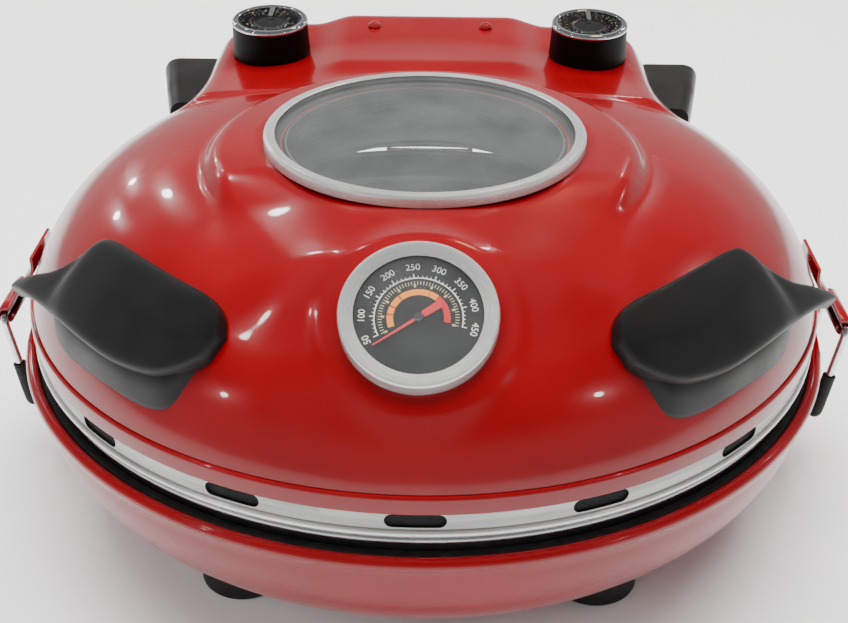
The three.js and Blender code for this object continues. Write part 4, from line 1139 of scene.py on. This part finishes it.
def strip(name, line, half_depth, thickness, material, body, replaces=(), side=1):
    """Sheet metal bent along a line in (x, z): square to the line by its thickness, deep along Y."""
    line = np.asarray(line, float)
    ahead = np.gradient(line, axis=0)
    ahead /= np.linalg.norm(ahead, axis=1, keepdims=True)
    normal = np.stack([-ahead[:, 1], ahead[:, 0]], axis=1)
    outer, inner = line + normal * thickness / 2, line - normal * thickness / 2
    section = np.concatenate([outer, inner[::-1]])
    depth = np.array([-1, -1, -0.985, 0.985, 1, 1]) * half_depth
    pinch = np.array([0, 0.82, 1, 1, 0.82, 0])
    middle = np.concatenate([line, line[::-1]])
    rings = [
        np.stack([middle[:, 0] + (section[:, 0] - middle[:, 0]) * p, np.full(len(section), y),
                  middle[:, 1] + (section[:, 1] - middle[:, 1]) * p], axis=1)
        for y, p in zip(depth, pinch)
    ]
    return surface(name, np.stack(rings) * [side, 1, 1], material, body, replaces, crease=50)


PIVOT_X, PIVOT_Z = 190.2, 77.5
WIRE = 1.75


def make_latches():
    """Each side has a painted strap whose curl holds a wire loop with a rubber grip."""
    strap = rounded([[174.6, 107], [174.6, 99], [181, 93.2], [187.6, 82.6]], [0, 6, 9, 0], 8)
    curl = arc((PIVOT_X, PIVOT_Z), 3.3, 122, -196, 34)
    line = np.concatenate([strap[:-1], curl])
    half = 18.0
    drop, lean = 44.5, 7.2
    one = [[3, 0], [half - 4, 0], [half - 0.9, 0.02], [half, 0.1], [half, 0.3], [half, 0.6], [half, 0.9],
           [half - 0.9, 0.98], [half - 4, 1], [3, 1]]
    loop = np.array(one + [[-y, d] for y, d in one[::-1]])
    points = np.stack([PIVOT_X - lean * loop[:, 1], loop[:, 0], PIVOT_Z - drop * loop[:, 1]], axis=1)
    plane = np.array([drop, 0, -lean]) / math.hypot(drop, lean)
    path = smooth_line(points, 260)
    lower = path[path[:, 2] < PIVOT_Z - drop * 0.52]
    for side, name in ((1, "right"), (-1, "left")):
        flip = np.array([side, 1, 1])
        strip(f"latch_strap_{name}", line, 15, 1.5, paint, "lid", [f"latch_bracket_{name}"],
              side)
        wire(f"latch_wire_{name}", path * flip, WIRE, plane * flip, chrome, f"{name}_bail",
             [f"latch_bail_{name}"])
        wire(f"latch_grip_{name}", lower * flip, 3.0, plane * flip, rubber, f"{name}_bail",
             [f"latch_sleeve_{name}"], 24, bore=2.0)


def make_hinge():
    """The hinge pin's rounded head; the two plates are the frame's own with a plated finish."""
    y, z = centre_of("hinge_pin")[1] - AXIS_Y, centre_of("hinge_pin")[2]
    profile = rounded([[0, -27], [2.2, -27], [2.5, -26.6], [2.5, 25.4], [4, 25.4], [4, 26.4], [3, 27],
                       [0, 27]], [0, 0.3, 0.3, 0.1, 0.3, 0.5, 0.4, 0])
    place = np.array(Matrix.Rotation(math.pi / 2, 4, "Y"))
    place[:3, 3] = (0, y, z)
    turned("hinge_rivet", profile, zinc, "base", ["hinge_pin"], place=place, turns=40)


make_gauge()
make_pointer()
make_handles()
make_stands()
make_control(-1, "thermostat")
make_control(1, "timer")
make_lamps()
make_rear_cover()
make_latches()
make_hinge()


# ---------- carried-over frame pieces ----------

CARRIED = {
    "lower_clip_1": spun_steel, "lower_clip_2": spun_steel, "lower_clip_3": spun_steel,
    "upper_clip_1": spun_steel, "upper_clip_2": spun_steel, "upper_clip_3": spun_steel,
    "hinge_base_bracket": zinc, "hinge_lid_bracket": zinc, "gauge_nut": zinc,
    "thermostat_shaft": zinc, "timer_shaft": zinc, "thermostat_body": zinc, "timer_body": zinc,
}
for name, material in CARRIED.items():
    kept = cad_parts[name]
    kept.data.materials.clear()
    kept.data.materials.append(material)


# ---------- floor and light ----------

def make_floor():
    mesh = bpy.data.meshes.new("floor")
    half = 4.0
    mesh.from_pydata([(-half, -half, 0), (half, -half, 0), (half, half, 0), (-half, half, 0)], [],
                     [(0, 1, 2, 3)])
    floor = bpy.data.objects.new("floor", mesh)
    bpy.context.scene.collection.objects.link(floor)
    material, shader = new_material("pale_floor", Roughness=0.8, Specular_IOR_Level=0.2)
    tone = noise(material, coordinates(material), 0.004, 2.0)
    link(material, shade(material, tone, [(0.3, "#fbfbfa"), (0.7, "#ffffff")]), shader, "Base Color")
    mesh.materials.append(material)


def aim(light, place, target):
    direction = Vector(target) - Vector(place)
    light.matrix_world = Matrix.Translation(place) @ direction.to_track_quat("-Z", "Y").to_matrix().to_4x4()


def area_light(name, place, target, width, height, power, code="#ffffff"):
    data = bpy.data.lights.new(name, "AREA")
    data.shape = "RECTANGLE"
    data.size, data.size_y = width, height
    data.energy = power
    data.color = linear(code)[:3]
    light = bpy.data.objects.new(name, data)
    light.visible_glossy = False
    bpy.context.scene.collection.objects.link(light)
    aim(light, place, target)


def spot_bulb(name, place, power, size, code):
    data = bpy.data.lights.new(name, "POINT")
    data.energy = power
    data.shadow_soft_size = size
    data.color = linear(code)[:3]
    light = bpy.data.objects.new(name, data)
    light.location = place
    bpy.context.scene.collection.objects.link(light)


def make_world():
    """Pale walls round a room with a dark ceiling: bright at eye level, fading overhead."""
    world = bpy.data.worlds.new("studio")
    bpy.context.scene.world = world
    world.use_nodes = True
    tree = world.node_tree
    background = tree.nodes["Background"]
    place = tree.nodes.new("ShaderNodeTexCoord")
    parts = tree.nodes.new("ShaderNodeSeparateXYZ")
    ramp = tree.nodes.new("ShaderNodeValToRGB")
    ramp.color_ramp.elements[0].position = 0.28
    ramp.color_ramp.elements[0].color = (0.62, 0.61, 0.6, 1)
    ramp.color_ramp.elements[1].position = 0.5
    ramp.color_ramp.elements[1].color = (0.2, 0.2, 0.2, 1)
    tree.links.new(place.outputs["Generated"], parts.inputs[0])
    tree.links.new(parts.outputs["Z"], ramp.inputs["Fac"])
    tree.links.new(ramp.outputs["Color"], background.inputs["Color"])
    background.inputs["Strength"].default_value = 0.9


def make_light():
    """Soft light from above and ahead, and small bulbs, one warm, that make the paint sparkle."""
    area_light("overhead_softbox", (0.0, 0.3, 1.9), (0, 0.0, 0.1), 2.2, 1.6, 112)
    area_light("front_softbox", (-0.9, -1.6, 1.4), (0, -0.1, 0.1), 0.9, 0.9, 14)
    bulbs = [(-0.4, 0.7, 0.9), (-0.7, -0.2, 1.05), (-0.9, -0.65, 0.65), (-0.8, 0.75, 0.55), (-0.6, 0.9, 0.7),
             (0.4, 0.95, 0.75), (0.75, -0.6, 0.7), (-0.7, 0.95, 0.5), (0.9, 0.5, 0.9)]
    for k, place in enumerate(bulbs):
        spot_bulb(f"bulb_{k + 1}", place, 1.4, 0.022, "#ffffff")
    spot_bulb("warm_bulb", (0.2, 0.46, 0.84), 2.4, 0.05, "#ffe3b0")


make_floor()
make_world()
make_light()
